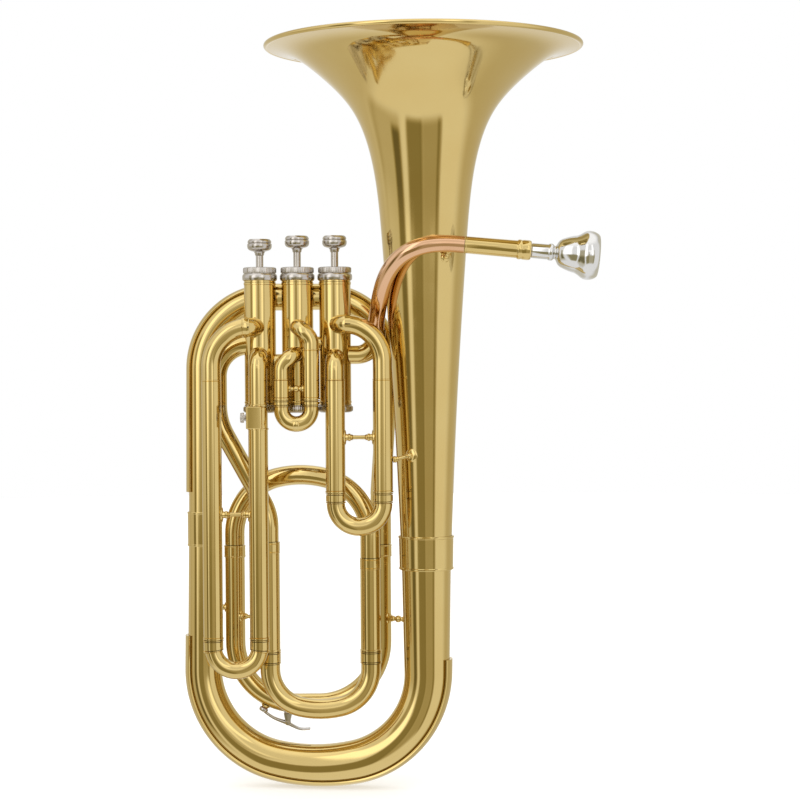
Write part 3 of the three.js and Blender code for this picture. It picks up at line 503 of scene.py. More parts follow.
def saddle_plate(shape, centre, tube_r, azimuth, z, half_width, half_height, thick=0.8, rings=6, sides=36):
    """Adds an oval foot that hugs an upright tube: half_width is along its girth, in millimetres."""
    loops = []
    for lift, share in [(-0.3, 1.0)] + [
        (thick * math.sqrt(max(0, 1 - (k / rings) ** 4)), k / rings) for k in range(rings, 0, -1)
    ]:
        r = tube_r + lift
        loop = []
        for j in range(sides):
            a = 2 * math.pi * j / sides
            turn = azimuth + share * half_width * math.cos(a) / tube_r
            loop.append(Vector((
                centre[0] + r * math.cos(turn), centre[1] + r * math.sin(turn),
                z + share * half_height * math.sin(a),
            )))
        loops.append(loop)
    return shape.add(*skin(loops, closed=False))


def spindle(shape, start, end, rod=1.4, collar=2.4, ball=0.0, collar_at=2.2):
    """Adds a stay's turned spindle: a collar near each end, and a ball in the middle if it has one."""
    start, end = Vector(start), Vector(end)
    length = (end - start).length
    half = [
        (0, 0), (rod * 1.7, 0), (rod * 1.5, collar_at - 1.3), (collar, collar_at - 0.8),
        (collar, collar_at + 0.4), (rod * 1.25, collar_at + 0.9), (rod * 1.45, collar_at + 1.6),
        (rod, collar_at + 2.4),
    ]
    middle = [
        (max(rod, ball * math.sin(math.pi * k / 8)), length / 2 - ball * math.cos(math.pi * k / 8))
        for k in range(1, 8)
    ] if ball else [(rod * 0.92, length / 2)]
    profile = half + middle + [(r, length - h) for r, h in half[::-1]]
    return turned(shape, profile, start, end - start, 24)


# ---------------------------------------------------------------- bell

def bell_radius(z):
    points, _ = spline([(h, r) for h, r in BELL_PROFILE], 200)
    return float(np.interp(z, points[:, 0], points[:, 1]))


def make_bell():
    points, slopes = spline([(h, r) for h, r in BELL_PROFILE], 110)
    outside = [(r, h) for h, r in points]
    inside = [(r - WALL * dh, h + WALL * dr) for (h, r), (dh, dr) in zip(points, slopes)]
    # The sheet is rolled outward over a wire, so that the rim is a round bead with a flat top.
    bead = []
    for k in range(13):
        a = math.radians(-150 + 22 * k)
        bead.append((
            RIM_R - BEAD + BEAD * math.cos(a),
            min(RIM_TOP, RIM_Z - 0.6 + BEAD * math.sin(a) * 0.92),
        ))
    profile = outside + bead + inside[::-1]
    sheet = turned(Shape(), profile + [profile[0]], segments=224)
    piece("bell_sheet", sheet, BRASS, "horn", "bell", sharp=50)


def make_bell_ferrule():
    low, high = BELL_FERRULE
    a, b = BOW_LARGE_R + 0.4, bell_radius(high) + 0.35
    profile = [
        (a, low), (a + 1.0, low), (a + 1.35, low + 0.4), (a + 1.35, low + 1.3), (a + 1.0, low + 1.7),
        (b + 0.75, high - 1.7), (b + 1.15, high - 1.3), (b + 1.15, high - 0.4), (b + 0.8, high),
        (b - 0.1, high), (a, low),
    ]
    piece("bell_joint_ferrule", turned(Shape(), profile, segments=96), BRASS, "horn", "bell_ferrule")


# ---------------------------------------------------------------- bows and guards

BOTTOM_BOW = route(
    (0, 0, BELL_PROFILE[0][0] - GAP),
    *arch_corners((0, 0), (BOW_LEFT_X, BACK_Y), BOW_LOWEST, BOW_SIDE, BOW_MIDDLE),
    (BOW_LEFT_X, BACK_Y, BOW_LEFT_TOP), step=math.radians(2.5),
)
TOP_BOW = route(
    (BOW_LEFT_X, BACK_Y, BOW_LEFT_TOP + GAP), (BOW_LEFT_X, BACK_Y, TOP_BOW_Z, 50),
    (-22.6, BACK_Y, TOP_BOW_Z, 46), (LOOP_RIGHT, BACK_Y, 205, 60), (LOOP_RIGHT, BACK_Y, LOOP_TOP + GAP),
    step=math.radians(3),
)


def bottom_bow_radius(along):
    t = along / length_of(BOTTOM_BOW)
    bulge = 4 * (BOW_MID_R - (BOW_LARGE_R + BOW_SMALL_R) / 2)
    return BOW_LARGE_R + (BOW_SMALL_R - BOW_LARGE_R) * t + bulge * t * (1 - t)


def top_bow_radius(along):
    t = min(1, along / (length_of(TOP_BOW) * 0.8))
    return TOP_BOW_LARGE_R + (TOP_BOW_SMALL_R - TOP_BOW_LARGE_R) * t


def away_from(x, low, high):
    def outward(point, direction):
        out = point - Vector((x, point.y, min(max(point.z, low), high)))
        return (out - direction * out.dot(direction)).normalized()
    return outward


def guard(name, stations, radius, outward, start, end, node_name):
    """A plate along the outside of a bow, with rounded long edges and square ends."""
    inside = [s for s in stations if start + 1 < s[2] < end - 1]
    kept = [station_at(stations, start)] + inside + [station_at(stations, end)]
    sweep = [-1 + k / 10 for k in range(21)]
    edge = 0.35
    loops = []
    for point, direction, along in kept:
        out = outward(point, direction)
        across = direction.cross(out)
        low = radius(along) + GUARD_SEAT
        high = radius(along) + GUARD_GAP + GUARD_THICK
        turn = GUARD_HALF
        slip = edge / high
        arc = [(high, t * (turn - slip)) for t in sweep]
        arc += [(high - edge * 0.3, turn - slip * 0.3), (high - edge, turn), (low + edge, turn)]
        arc += [(low, t * (turn - slip)) for t in sweep[::-1]]
        arc += [(low + edge, -turn), (high - edge, -turn), (high - edge * 0.3, -turn + slip * 0.3)]
        loops.append([point + out * (r * math.cos(a)) + across * (r * math.sin(a)) for r, a in arc])
    piece(name, Shape().add(*skin(loops, closed=False)), BRASS, "horn", node_name)


def make_bows():
    bottom = tube(Shape(), BOTTOM_BOW, bottom_bow_radius, sides=80)
    piece("bottom_bow_tube", bottom, BRASS, "horn", "bottom_bow")
    piece("top_bow_tube", tube(Shape(), TOP_BOW, top_bow_radius, sides=56), BRASS, "horn", "top_bow")
    total = length_of(BOTTOM_BOW)
    guard(
        "bottom_bow_guard_plate", BOTTOM_BOW, bottom_bow_radius,
        away_from(BOW_LEFT_X / 2, BOW_LOWEST + BOW_SIDE, 400), BELL_PROFILE[0][0] - 88.5,
        total - (BOW_LEFT_TOP - 103.3), "bottom_bow_guard",
    )
    guard(
        "top_bow_guard_plate", TOP_BOW, top_bow_radius, away_from(-94, 0, TOP_BOW_Z - 50),
        206.5 - BOW_LEFT_TOP, length_of(TOP_BOW) - 165, "top_bow_guard",
    )
    low, high, r = LEFT_FERRULE
    seat = BOW_SMALL_R + 0.05
    ferrule = [
        (seat, low), (r - 0.3, low), (r, low + 0.4), (r, low + 1.2), (r - 0.25, low + 1.5),
        (r - 0.25, high - 1.5), (r, high - 1.2), (r, high - 0.4), (r - 0.3, high), (seat, high), (seat, low),
    ]
    ring = turned(Shape(), ferrule, (BOW_LEFT_X, BACK_Y, 0), segments=64)
    piece("left_bow_ferrule", ring, BRASS, "horn", "left_ferrule")


# ---------------------------------------------------------------- lower loop, arch and tuning slide

def make_lower_loop():
    stations = route(
        (LOOP_LEFT, BACK_Y, LOOP_TOP), (LOOP_LEFT, BACK_Y, LOOP_BOTTOM, LOOP_BEND),
        (LOOP_RIGHT, BACK_Y, LOOP_BOTTOM, LOOP_BEND), (LOOP_RIGHT, BACK_Y, LOOP_TOP),
    )
    total = length_of(stations)
    ferrule = LOOP_R + 0.5
    steps = steps_of(total, LOOP_R, (0, 9, ferrule), (total - 9, total, ferrule))
    shape = tube(Shape(), stations, steps)
    for at in (0.9, 8.1):
        for x in (LOOP_LEFT, LOOP_RIGHT):
            turned(shape, sleeve(LOOP_R + 0.2, ferrule + 0.2, LOOP_TOP - at - 0.45, LOOP_TOP - at + 0.45),
                   (x, BACK_Y, 0))
    out = Vector((math.cos(KEY_ANGLE), 0, math.sin(KEY_ANGLE)))
    foot = Vector((LOOP_LEFT + LOOP_BEND, BACK_Y, LOOP_BOTTOM + LOOP_BEND)) + out * (LOOP_BEND + LOOP_R)
    turned(shape, [
        (1.4, -0.6), (3.6, -0.6), (3.2, 0.5), (2.6, 0.9), (2.6, NIPPLE - 0.3), (2.3, NIPPLE),
        (1.4, NIPPLE), (1.4, -0.6),
    ], foot, out, 28)
    piece("lower_loop_tube", shape, BRASS, "horn", "lower_loop")
    return foot, out


def make_arch():
    start, end = (LOOP_LEFT, BACK_Y), (TUNING_RIGHT, TUNING_Y)
    stations = route(
        (*start, LOOP_TOP + GAP), *arch_corners(start, end, ARCH_HIGHEST, ARCH_SIDE, ARCH_MIDDLE, -1),
        (*end, TUNING_RIGHT_TOP + GAP),
    )
    piece("arch_bow_tube", tube(Shape(), stations, ARCH_R), BRASS, "horn", "arch_tube")


def make_tuning_slide():
    for side, x, top in (("left", TUNING_LEFT, TUNING_LEFT_TOP), ("right", TUNING_RIGHT, TUNING_RIGHT_TOP)):
        low = TUNING_FERRULE[1] + GAP
        stations = route((x, TUNING_Y, top), (x, TUNING_Y, low))
        r = TUNING_SLEEVE_R
        steps = steps_of(top - low, r, (0, 1.2, r + 0.3), (1.25, 7, r + 0.2), (7.05, 8.2, r + 0.3),
                         (top - low - 1.2, top - low, r + 0.35))
        node_name = f"tuning_sleeve_{side}"
        piece(f"{node_name}_tube", tube(Shape(), stations, steps), BRASS, "horn", node_name)
    crook(
        "tuning_crook_bow", TUNING_LEFT, TUNING_RIGHT, TUNING_Y, TUNING_FERRULE[1] + 60, TUNING_FERRULE,
        TUNING_LOWEST, TUNING_TUBE_R, TUNING_SLEEVE_R - WALL - GAP, TUNING_SLEEVE_R + 0.4, "tuning_slide",
        "tuning_crook", bend=(TUNING_SIDE, TUNING_MIDDLE),
    )


def crook(
    name, left, right, y, inner_top, ferrule, lowest, tube_r, leg_r, ferrule_r, body, node_name,
    extra=None, bend=None,
):
    """A U of tube: two inner legs, a ferrule on each where it meets the bend, and the bend. bend holds the
    radii of its sides and middle; without them it is half a circle."""
    half = (right - left) / 2
    corners = arch_corners((left, y), (right, y), lowest, *bend) if bend else (
        (left, y, lowest, half - 0.01), (right, y, lowest, half - 0.01),
    )
    stations = route((left, y, inner_top), *corners, (right, y, inner_top), step=math.radians(5))
    total = length_of(stations)
    to_ferrule, to_bend = inner_top - ferrule[1], inner_top - ferrule[0]
    rings = []
    for start in (0, 1):
        near, far = to_ferrule, to_bend
        ends = [
            (near, near + 1.1, ferrule_r), (near + 1.15, far - 1.15, ferrule_r - 0.15),
            (far - 1.1, far, ferrule_r),
        ]
        rings += [(total - b, total - a, r) for a, b, r in ends[::-1]] if start else ends
    bend_band = (to_bend + 0.05, total - to_bend - 0.05, tube_r)
    steps = steps_of(total, leg_r, *rings[:3], bend_band, *rings[3:])
    shape = tube(Shape(), stations, steps, wall=0.6)
    if extra:
        extra(shape)
    piece(name, shape, BRASS, body, node_name)


def make_s_tube():
    stations = route(
        (VALVE_X[2], 0, 312), (-147.8, TUNING_Y, 312, 22), (-147.8, TUNING_Y, 258, 44),
        (TUNING_LEFT, TUNING_Y, 192, 36), (TUNING_LEFT, TUNING_Y, TUNING_LEFT_TOP + GAP),
    )
    shape = tube(Shape(), stations, 6.7, start_on=((VALVE_X[2], 0), CASING_R - 0.5))
    piece("s_bend_tube", shape, BRASS, "horn", "s_tube")


# ---------------------------------------------------------------- valves

def knurled(count, depth, low, high):
    """Fine upright grooves between two heights."""
    def wave(r, h, angle):
        return r - depth * (0.5 + 0.5 * math.cos(count * angle)) if low <= h <= high else r
    return wave


def make_valve(i):
    x, n, body = VALVE_X[i], i + 1, f"valve_{i + 1}"
    at = (x, 0, 0)
    casing = [
        (CASING_BORE, CASING_LOW), (CASING_R, CASING_LOW), (CASING_R, 270.6), (CASING_R + 0.3, 270.9),
        (CASING_R + 0.3, 271.9), (CASING_R, 272.2), (CASING_R, 354.6), (CASING_R + 0.3, 354.9),
        (CASING_R + 0.3, 356.3), (CASING_R, 356.6), (CASING_R, CASING_HIGH), (CASING_BORE, CASING_HIGH),
        (CASING_BORE, CASING_LOW),
    ]
    piece(f"casing_{n}_tube", turned(Shape(), casing, at, segments=72), BRASS, "horn", f"casing_{n}")

    low, high = TOP_CAP
    r, roof, hole = TOP_CAP_R, CASING_HIGH + GAP, 3.2
    cap = [
        (CASING_R + 0.2, low), (r - 0.9, low), (r - 0.25, low + 0.5), (r, low + 1.4), (r, low + 3.4),
        (r - 0.3, low + 4.3), (r - 0.9, low + 4.9), (r - 1.1, low + 5.2), (r - 0.75, low + 5.6),
        (r - 0.55, low + 6), (r - 0.55, high - 1.1), (r - 0.9, high - 0.4), (r - 1.7, high),
        (hole + 1.6, high), (hole + 0.9, high - 0.5), (hole, high - 0.5), (hole, roof),
        (CASING_R + 0.2, roof), (CASING_R + 0.2, low),
    ]
    wave = knurled(60, 0.35, low + 5.8, high - 0.9)
    cap = turned(Shape(), cap, at, segments=240, wave=wave)
    piece(f"top_cap_{n}_knurled", cap, NICKEL, "horn", f"top_cap_{n}")

    low, high = BOTTOM_CAP
    floor = CASING_LOW - GAP
    cap = [
        (1.2, low + 0.3), (3.2, low), (BOTTOM_CAP_R - 2, low), (BOTTOM_CAP_R - 0.9, low + 0.4),
        (BOTTOM_CAP_R - 0.3, low + 1), (BOTTOM_CAP_R, low + 1.7), (BOTTOM_CAP_R, low + 3.6),
        (BOTTOM_CAP_R - 0.4, low + 4.4), (BOTTOM_CAP_R - 1, low + 4.8), (BOTTOM_CAP_R - 1.1, high),
        (CASING_R + 0.2, high), (CASING_R + 0.2, floor), (1.2, floor), (1.2, low + 0.3),
    ]
    wave = knurled(60, 0.3, low + 1.6, low + 3.8)
    cap = turned(Shape(), cap, at, segments=240, wave=wave)
    piece(f"bottom_cap_{n}_knurled", cap, NICKEL, "horn", f"bottom_cap_{n}")

    make_piston(i, at, body)
    make_button(i, at, body)
    make_spring(i)
    low = PISTON[1] + GAP
    high, hole = low + FELT_HEIGHT, STEM_R + 0.3
    ring = eased([(hole, low), (FELT_R, low), (FELT_R, high), (hole, high), (hole, low)], 0.4)
    piece(f"felt_{n}_washer", turned(Shape(), ring, at), FELT, body, f"felt_{n}")


def make_piston(i, at, body):
    """The piston: a ground cylinder with relief bands, its passages seen as dished ports."""
    low, high = PISTON
    r = PISTON_R
    profile = [
        (0, low + 1.5), (r - 3, low + 1.5), (r - 2.4, low), (r - 0.5, low), (r, low + 0.5), (r, low + 4),
        (r - 0.4, low + 4.4), (r - 0.4, low + 5.6), (r, low + 6), (r, high - 8), (r - 0.5, high - 7.4),
        (r - 0.5, high - 4), (r, high - 3.4), (r, high - 0.5), (r - 0.5, high), (STEM_R + 1.4, high),
        (STEM_R + 1, high + 0.2), (0, high + 0.2),
    ]
    shape = turned(Shape(), profile, at, segments=56)
    for z, turn in ((300, 0.2), (314, 1.3), (328, -0.6)):
        for side in (0, math.pi):
            out = Vector((math.cos(turn + side), math.sin(turn + side), 0))
            turned(shape, [(4.4, -0.6), (4.9, -0.2), (4.4, 0.02), (3.9, -0.2), (4.4, -0.6)],
                   Vector(at) + Vector((0, 0, z)) + out * (r - 0.9), out, 32)
    piece(f"piston_{i + 1}_body", shape, NICKEL, body, f"piston_{i + 1}")


def make_button(i, at, body):
    under = BUTTON_UNDER[i]
    r, top = BUTTON_R, under + BUTTON_HEIGHT
    start = PISTON[1] + GAP
    profile = [
        (0, start), (STEM_R, start), (STEM_R, under - 3.4), (STEM_R + 0.5, under - 3),
        (STEM_R + 0.7, under - 1.6), (STEM_R + 1.4, under - 0.5), (r - 2.6, under + 0.1),
        (r - 1.2, under + 0.7), (r - 0.3, under + 1.8), (r, under + 3), (r, under + 4.6),
        (r - 0.25, under + 5.1), (r - 0.75, under + 5.4), (r - 0.3, under + 5.8), (r - 0.25, under + 6.6),
        (r - 0.7, under + 7.5), (r - 1.5, top), (r - 2.2, top), (r - 2.6, top - 0.5), (r - 5, top - 1),
        (0, top - 1.2),
    ]
    button = turned(Shape(), profile, at, segments=64)
    piece(f"button_{i + 1}_finger", button, NICKEL, body, f"button_{i + 1}")


def make_spring(i):
    """A compression spring that stands on the bottom cap under the piston, on a mesh of its own."""
    x = VALVE_X[i]
    low, high = CASING_LOW + SPRING_WIRE + 0.1, PISTON[0] - GAP - SPRING_WIRE
    count = SPRING_TURNS * 24
    loops = []
    for k in range(count + 1):
        t = k / count
        a = 2 * math.pi * SPRING_TURNS * t
        rise = low + (high - low) * min(1, max(0, (t * SPRING_TURNS - 0.6) / (SPRING_TURNS - 1.2)))
        out = Vector((math.cos(a), math.sin(a), 0))
        centre = Vector((x, 0, rise)) + out * SPRING_R
        angles = [2 * math.pi * j / 8 for j in range(8)]
        loops.append([
            centre + out * (SPRING_WIRE * math.cos(b)) + Vector((0, 0, -SPRING_WIRE * math.sin(b)))
            for b in angles
        ])
    wire = Shape().add(*skin(loops, closed=False))
    made = piece(f"spring_{i + 1}_coil", wire, STEEL, "horn", f"spring_{i + 1}")
    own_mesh(made)


def make_port_tubes():
    for i, z, name in ((0, 312.8, "12"), (1, 300.5, "23")):
        stations = route((VALVE_X[i], 0, z), (VALVE_X[i + 1], 0, z))
        total = length_of(stations)
        middle = [s for s in stations if 8 < s[2] < total - 8] or [station_at(stations, total / 2)]
        stations = [stations[0]] + middle + [stations[-1]]
        shape = tube(
            Shape(), stations, 5.2, start_on=((VALVE_X[i], 0), CASING_R - 0.5),
            end_on=((VALVE_X[i + 1], 0), CASING_R - 0.5),
        )
        piece(f"port_tube_{name}_sleeve", shape, BRASS, "horn", f"port_tube_{name}")


# ---------------------------------------------------------------- valve slides

def outer_slide_tube(i, side, corners, leg_x, top, knuckle_r, band=None):
    slide = SLIDES[i]
    r, bottom = slide["sleeve_r"], slide["sleeve_bottom"]
    stations = route((VALVE_X[i], 0, corners[0][2]), *corners, (leg_x, FRONT_Y, bottom))
    total = length_of(stations)
    turn = total - (top - bottom)
    rings = [(turn, turn + 1, r + 0.12), (turn + 1.05, total - 1.3, r), (total - 1.25, total, r + 0.3)]
    if band:
        rings = [band] + rings
    steps = steps_of(total, knuckle_r, *rings)
    shape = tube(Shape(), stations, steps, bore=r - WALL, start_on=((VALVE_X[i], 0), CASING_R - 0.5))
    piece(f"slide_tube_{i + 1}_{side}_sleeve", shape, BRASS, "horn", f"slide_tube_{i + 1}_{side}")


def make_slides():
    for i, slide in enumerate(SLIDES):
        bore = slide["sleeve_r"] - WALL
        collar = (21.5, 24.5, bore + 1.3) if i == 2 else None
        (lower_x, upper_x), (lower_top, upper_top) = slide["legs"], slide["sleeve_top"]
        outer_slide_tube(i, "upper", UPPER_CORNERS[i], upper_x, upper_top, bore + 0.6, collar)
        outer_slide_tube(i, "lower", LOWER_CORNERS[i], lower_x, lower_top, bore + 0.4)
        left, right = sorted(slide["legs"])
        bend_bottom = slide["bend_z"] - (right - left) / 2

        def knob(shape):
            turned(shape, [
                (0, -1), (1.7, -1), (1.5, 1.8), (1.2, 2.4), (2.2, 3), (2.5, 3.6), (2.3, 4.3), (1.4, 4.8),
                (0, 5),
            ], ((left + right) / 2, FRONT_Y - slide["tube_r"] + 0.4, bend_bottom), (0, -1, 0), 28)

        crook(
            f"slide_crook_{i + 1}_bow", left, right, FRONT_Y, slide["inner_top"],
            (slide["ferrule_bottom"], slide["sleeve_bottom"] - GAP), bend_bottom, slide["tube_r"],
            bore - GAP, slide["sleeve_r"] + 0.2, f"slide_{i + 1}", f"slide_crook_{i + 1}",
            knob if i == 1 else None,
        )
        make_brace(i, left, right)


def make_brace(i, left, right):
    """The brace between the two legs of a slide: an oval foot on each tube and a turned spindle."""
    slide = SLIDES[i]
    r, z = slide["sleeve_r"], slide["brace_z"]
    shape = Shape()
    small = i == 1
    width, height = (2.6, 2.8) if small else (3.6, 5.4)
    saddle_plate(shape, (left, FRONT_Y), r, 0, z, width, height)
    saddle_plate(shape, (right, FRONT_Y), r, math.pi, z, width, height)
    ends = (left + r + 0.2, FRONT_Y, z), (right - r - 0.2, FRONT_Y, z)
    if small:
        spindle(shape, *ends, rod=1.0, collar=1.5, ball=2.5, collar_at=1.2)
    else:
        spindle(shape, *ends, rod=1.5, collar=2.7, collar_at=3)
    piece(f"brace_{i + 1}_spindle", shape, BRASS, "horn", f"brace_{i + 1}")


# ---------------------------------------------------------------- leadpipe and mouthpiece

def make_leadpipe():
    stations = smooth_route(LEADPIPE, 70)
    total = length_of(stations)
    piece("leadpipe_tube", tube(Shape(), stations, steps_of(total, LEADPIPE_R)), ROSE, "horn", "leadpipe")
    elbow = route(
        (ELBOW_X, ELBOW_Y, LEADPIPE[0][2] + 1.6), (ELBOW_X, ELBOW_Y, ELBOW_Z, ELBOW_BEND),
        (VALVE_X[0], 0, ELBOW_Z),
    )
    total = length_of(elbow)
    r = ELBOW_FERRULE_R
    steps = steps_of(total, ELBOW_R, (0, 1.2, r), (1.3, 5, r - 0.25), (5.1, 6.3, r))
    shape = tube(Shape(), elbow, steps, bore=LEADPIPE_R + 0.1, end_on=((VALVE_X[0], 0), CASING_R - 0.5))
    piece("leadpipe_elbow", shape, BRASS, "horn", "elbow")


def make_receiver_and_mouthpiece():
    axis = Vector((math.cos(MOUTH_TILT), 0, -math.sin(MOUTH_TILT)))
    start = Vector(LEADPIPE[-1]) + axis * GAP
    length = RECEIVER_LENGTH
    ring = length - 8
    profile = [
        (4.4, 0), (5.9, 0), (6.1, 0.2), (6.1, 1), (5.9, 1.3), (6.1, ring - 2), (6.3, ring - 1.6),
        (6.75, ring - 1.1), (6.9, ring - 0.4), (6.85, ring + 0.6), (6.6, ring + 1.2), (6.6, ring + 1.8),
        (6.85, ring + 2.3), (6.9, length - 2), (6.7, length - 0.9), (6.3, length - 0.2), (5.7, length),
        (4.5, length - 0.2), (4.4, length - 0.4), (4.4, 0),
    ]
    piece("receiver_sleeve", turned(Shape(), profile, start, axis, 64), BRASS, "horn", "receiver")

    mouth = start + axis * length
    cup = [
        (2.4, -MOUTHPIECE_SEAT), (3.7, -MOUTHPIECE_SEAT), (4, -MOUTHPIECE_SEAT + 0.4), (4, 0.3), (4.9, 0.4),
        (5.2, 0.8), (5.3, 11.6), (5.5, 12), (5.8, 12.5), (5.95, 13.3), (5.85, 14.6), (5.4, 15.2),
        (4.8, 15.7), (4.5, 16.3), (4.7, 16.9), (5.5, 17.5), (7, 18.2), (8.6, 19.3), (9.8, 21), (10.9, 23.6),
        (11.8, 26), (12.5, 28.5), (12.9, 30.6), (13.2, 31.6), (14.2, 33.4), (15.8, 35.6), (16.7, 37.4),
        (17, 39.4), (16.8, 41.8), (16.2, 43.8), (15.3, 45.5), (14.2, 46.6), (13.2, 46.9), (12.5, 46.5),
        (12, 45.2), (11.4, 42), (10.9, 37), (9.4, 32), (7.2, 27.4), (4.6, 23.6), (3.1, 21.6), (2.5, 19.6),
        (2.4, 17), (2.4, -MOUTHPIECE_SEAT),
    ]
    made = turned(Shape(), cup, mouth, axis, 96)
    piece("mouthpiece_cup", made, SILVER, "mouthpiece", "mouthpiece", sharp=50)


# ---------------------------------------------------------------- lyre holder and water key

def rounded_block(shape, low, high, soft, hole=None, clear=None):
    """Adds an upright block with round vertical edges; hole is a square socket's half width through it, and
    clear(point) may pull a point of its outline back."""
    cx, cy = (low[0] + high[0]) / 2, (low[1] + high[1]) / 2
    hx, hy = (high[0] - low[0]) / 2, (high[1] - low[1]) / 2
    corners = ((1, 1), (-1, 1), (-1, -1), (1, -1))
    outline, socket = [], []
    for k, (sx, sy) in enumerate(corners):
        for j in range(7):
            a = math.pi / 2 * (k + j / 6)
            outline.append((
                cx + sx * (hx - soft) + soft * math.cos(a), cy + sy * (hy - soft) + soft * math.sin(a),
            ))
            socket.append((hole[0] + sx * hole[2], hole[1] + sy * hole[2]) if hole else (cx, cy))
    if clear:
        outline = [clear(p) for p in outline]

    def level(z, inset):
        return [Vector((x + (cx - x) * inset, y + (cy - y) * inset, z)) for x, y in outline]

    loops = [level(low[2], 0.06), level(low[2] + 0.4, 0), level(high[2] - 0.4, 0), level(high[2], 0.06)]
    if hole:
        loops += [[Vector((x, y, z)) for x, y in socket] for z in (high[2], low[2])]
    return shape.add(*skin(loops, closed=bool(hole)))


def make_lyre_holder():
    leg_x, leg_r = SLIDES[2]["legs"][0], SLIDES[2]["sleeve_r"]
    block_x = leg_x - LYRE_LEFT
    front = FRONT_Y - leg_r - GAP
    middle = front - LYRE_DEPTH / 2
    low = (block_x - LYRE_WIDTH / 2, front - LYRE_DEPTH, LYRE_Z - LYRE_HEIGHT / 2)
    high = (block_x + LYRE_WIDTH / 2, front + 2.4, LYRE_Z + LYRE_HEIGHT / 2)

    def clear(point):
        x, y = point
        off = min(abs(x - leg_x), leg_r)
        return x, min(y, FRONT_Y - math.sqrt(max(0, (leg_r + 0.1) ** 2 - off * off)))

    shape = rounded_block(Shape(), low, high, 1.2, (block_x, middle, LYRE_SOCKET / 2), clear)
    for z in (low[2] - 1.2, high[2]):
        turned(shape, sleeve(leg_r - 0.1, leg_r + 0.55, z, z + 1.2), (leg_x, FRONT_Y, 0))
    piece("lyre_holder_block", shape, BRASS, "horn", "lyre_holder")
    start = (block_x - LYRE_SOCKET / 2, middle, LYRE_Z)
    profile = [
        (0, 0.2), (0.9, 0.2), (1.1, 0.5), (1.1, 3.4), (2.2, 3.5), (2.4, 3.7), (2.4, 4.1), (1.6, 4.3),
        (1.6, 4.5), (3.3, 4.6), (3.6, 4.9), (3.6, 6.6), (3.2, 7), (2.4, 7.2), (0, 7.1),
    ]
    wave = knurled(24, 0.3, 4.8, 6.7)
    screw = turned(Shape(), profile, start, (-1, 0, 0), 96, wave)
    piece("lyre_thumb_screw", screw, NICKEL, "lyre_screw", "lyre_screw")


def blade(shape, points, widths, thicknesses, up, count=30, sides=20):
    """Adds a bar with rounded section along a smooth line; widths and thicknesses are given at its knots."""
    stations = smooth_route(points, count)
    total = length_of(stations)
    knots = np.linspace(0, total, len(widths))
    loops = []
    for point, direction, along, u, v in framed(stations, Vector(up)):
        w, t = np.interp(along, knots, widths), np.interp(along, knots, thicknesses)
        angles = [2 * math.pi * j / sides for j in range(sides)]
        squircle = [
            tuple(math.copysign(abs(x) ** 0.6, x) for x in (math.cos(a), math.sin(a))) for a in angles
        ]
        loops.append([point + u * (t * c) + v * (w * s) for c, s in squircle])
    return shape.add(*skin(loops, closed=False))


def make_water_key(foot, out):
    px, py, pz = KEY_PIVOT
    pivot = Vector(KEY_PIVOT)
    saddle = Shape()
    saddle_r = LOOP_R
    for side in (-1, 1):
        near, far = py + side * 3.3, py + side * 3.5
        blade(saddle, [(px, near, pz - 1.6), (px, near, pz + 1), (px, far, pz + 6.6)],
              [1.4, 2.2, 3], [0.5, 0.5, 0.5], (0, 1, 0), 10)
        head = [(0, 0), (1.5, 0), (1.5, 0.5), (1.1, 0.9), (0, 1)]
        turned(saddle, head, (px, far, pz), (0, side, 0), 20)
    turned(saddle, [(0, -3.6), (0.8, -3.6), (0.8, 3.6), (0, 3.6)], (px, py, pz), (0, 1, 0), 16)
    patch = []
    for radius in (saddle_r - 0.2, saddle_r + 0.7):
        patch.append([
            Vector((px + 3.2 * math.cos(b), py + radius * math.sin(0.62 * math.sin(b)),
                    LOOP_BOTTOM - radius * math.cos(0.62 * math.sin(b))))
            for b in [2 * math.pi * j / 32 for j in range(32)]
        ])
    saddle.add(*skin(patch[::-1], closed=False))
    piece("water_key_bracket", saddle, NICKEL, "horn", "water_key_saddle")

    lever = Shape()
    cup_at = foot + out * (NIPPLE + GAP)
    turned(lever, [
        (0, 0.8), (2.7, 0.8), (2.8, 0.4), (3.2, 0.4), (3.3, 0.7), (3.3, 2.2), (3, 2.7), (2.2, 3), (0, 3.1),
    ], cup_at, out, 36)
    back = foot + out * (NIPPLE + 2.6)
    blade(
        lever, [back, (-110.4, py, 42.2), (px, py, pz - 0.9), (-91.5, py, 34.3), (-84.5, py, 34.4)],
        [1.4, 2.0, 2.0, 3.4, 3.6], [0.9, 1.0, 1.4, 0.8, 0.6], (0.4, 0, 1), 44,
    )
    turned(lever, [(0.85, -2.6), (2.1, -2.6), (2.1, 2.6), (0.85, 2.6), (0.85, -2.6)], pivot, (0, 1, 0), 24)
    piece("water_key_arm", lever, NICKEL, "water_key", "water_key_lever")
    cork = turned(Shape(), [(0, 0), (2.3, 0), (2.5, 0.2), (2.5, 1), (0, 1)], cup_at, out, 32)
    piece("water_key_cork", cork, CORK, "water_key")


# ---------------------------------------------------------------- stays

def stay_between(name, a, b, z, node_name=None, ball=0.0, feet=(3.4, 4.2), rod=1.3):
    """A stay between two upright tubes, (x, y, radius), with an oval foot on each."""
    shape = Shape()
    one, two = Vector((a[0], a[1], z)), Vector((b[0], b[1], z))
    out = (two - one).normalized()
    turn = math.atan2(out.y, out.x)
    saddle_plate(shape, a[:2], a[2], turn, z, *feet)
    saddle_plate(shape, b[:2], b[2], turn + math.pi, z, *feet)
    spindle(shape, one + out * (a[2] + 0.2), two - out * (b[2] + 0.2), rod=rod, collar=rod * 1.7, ball=ball)
    piece(name, shape, BRASS, "horn", *([node_name] if node_name else []))


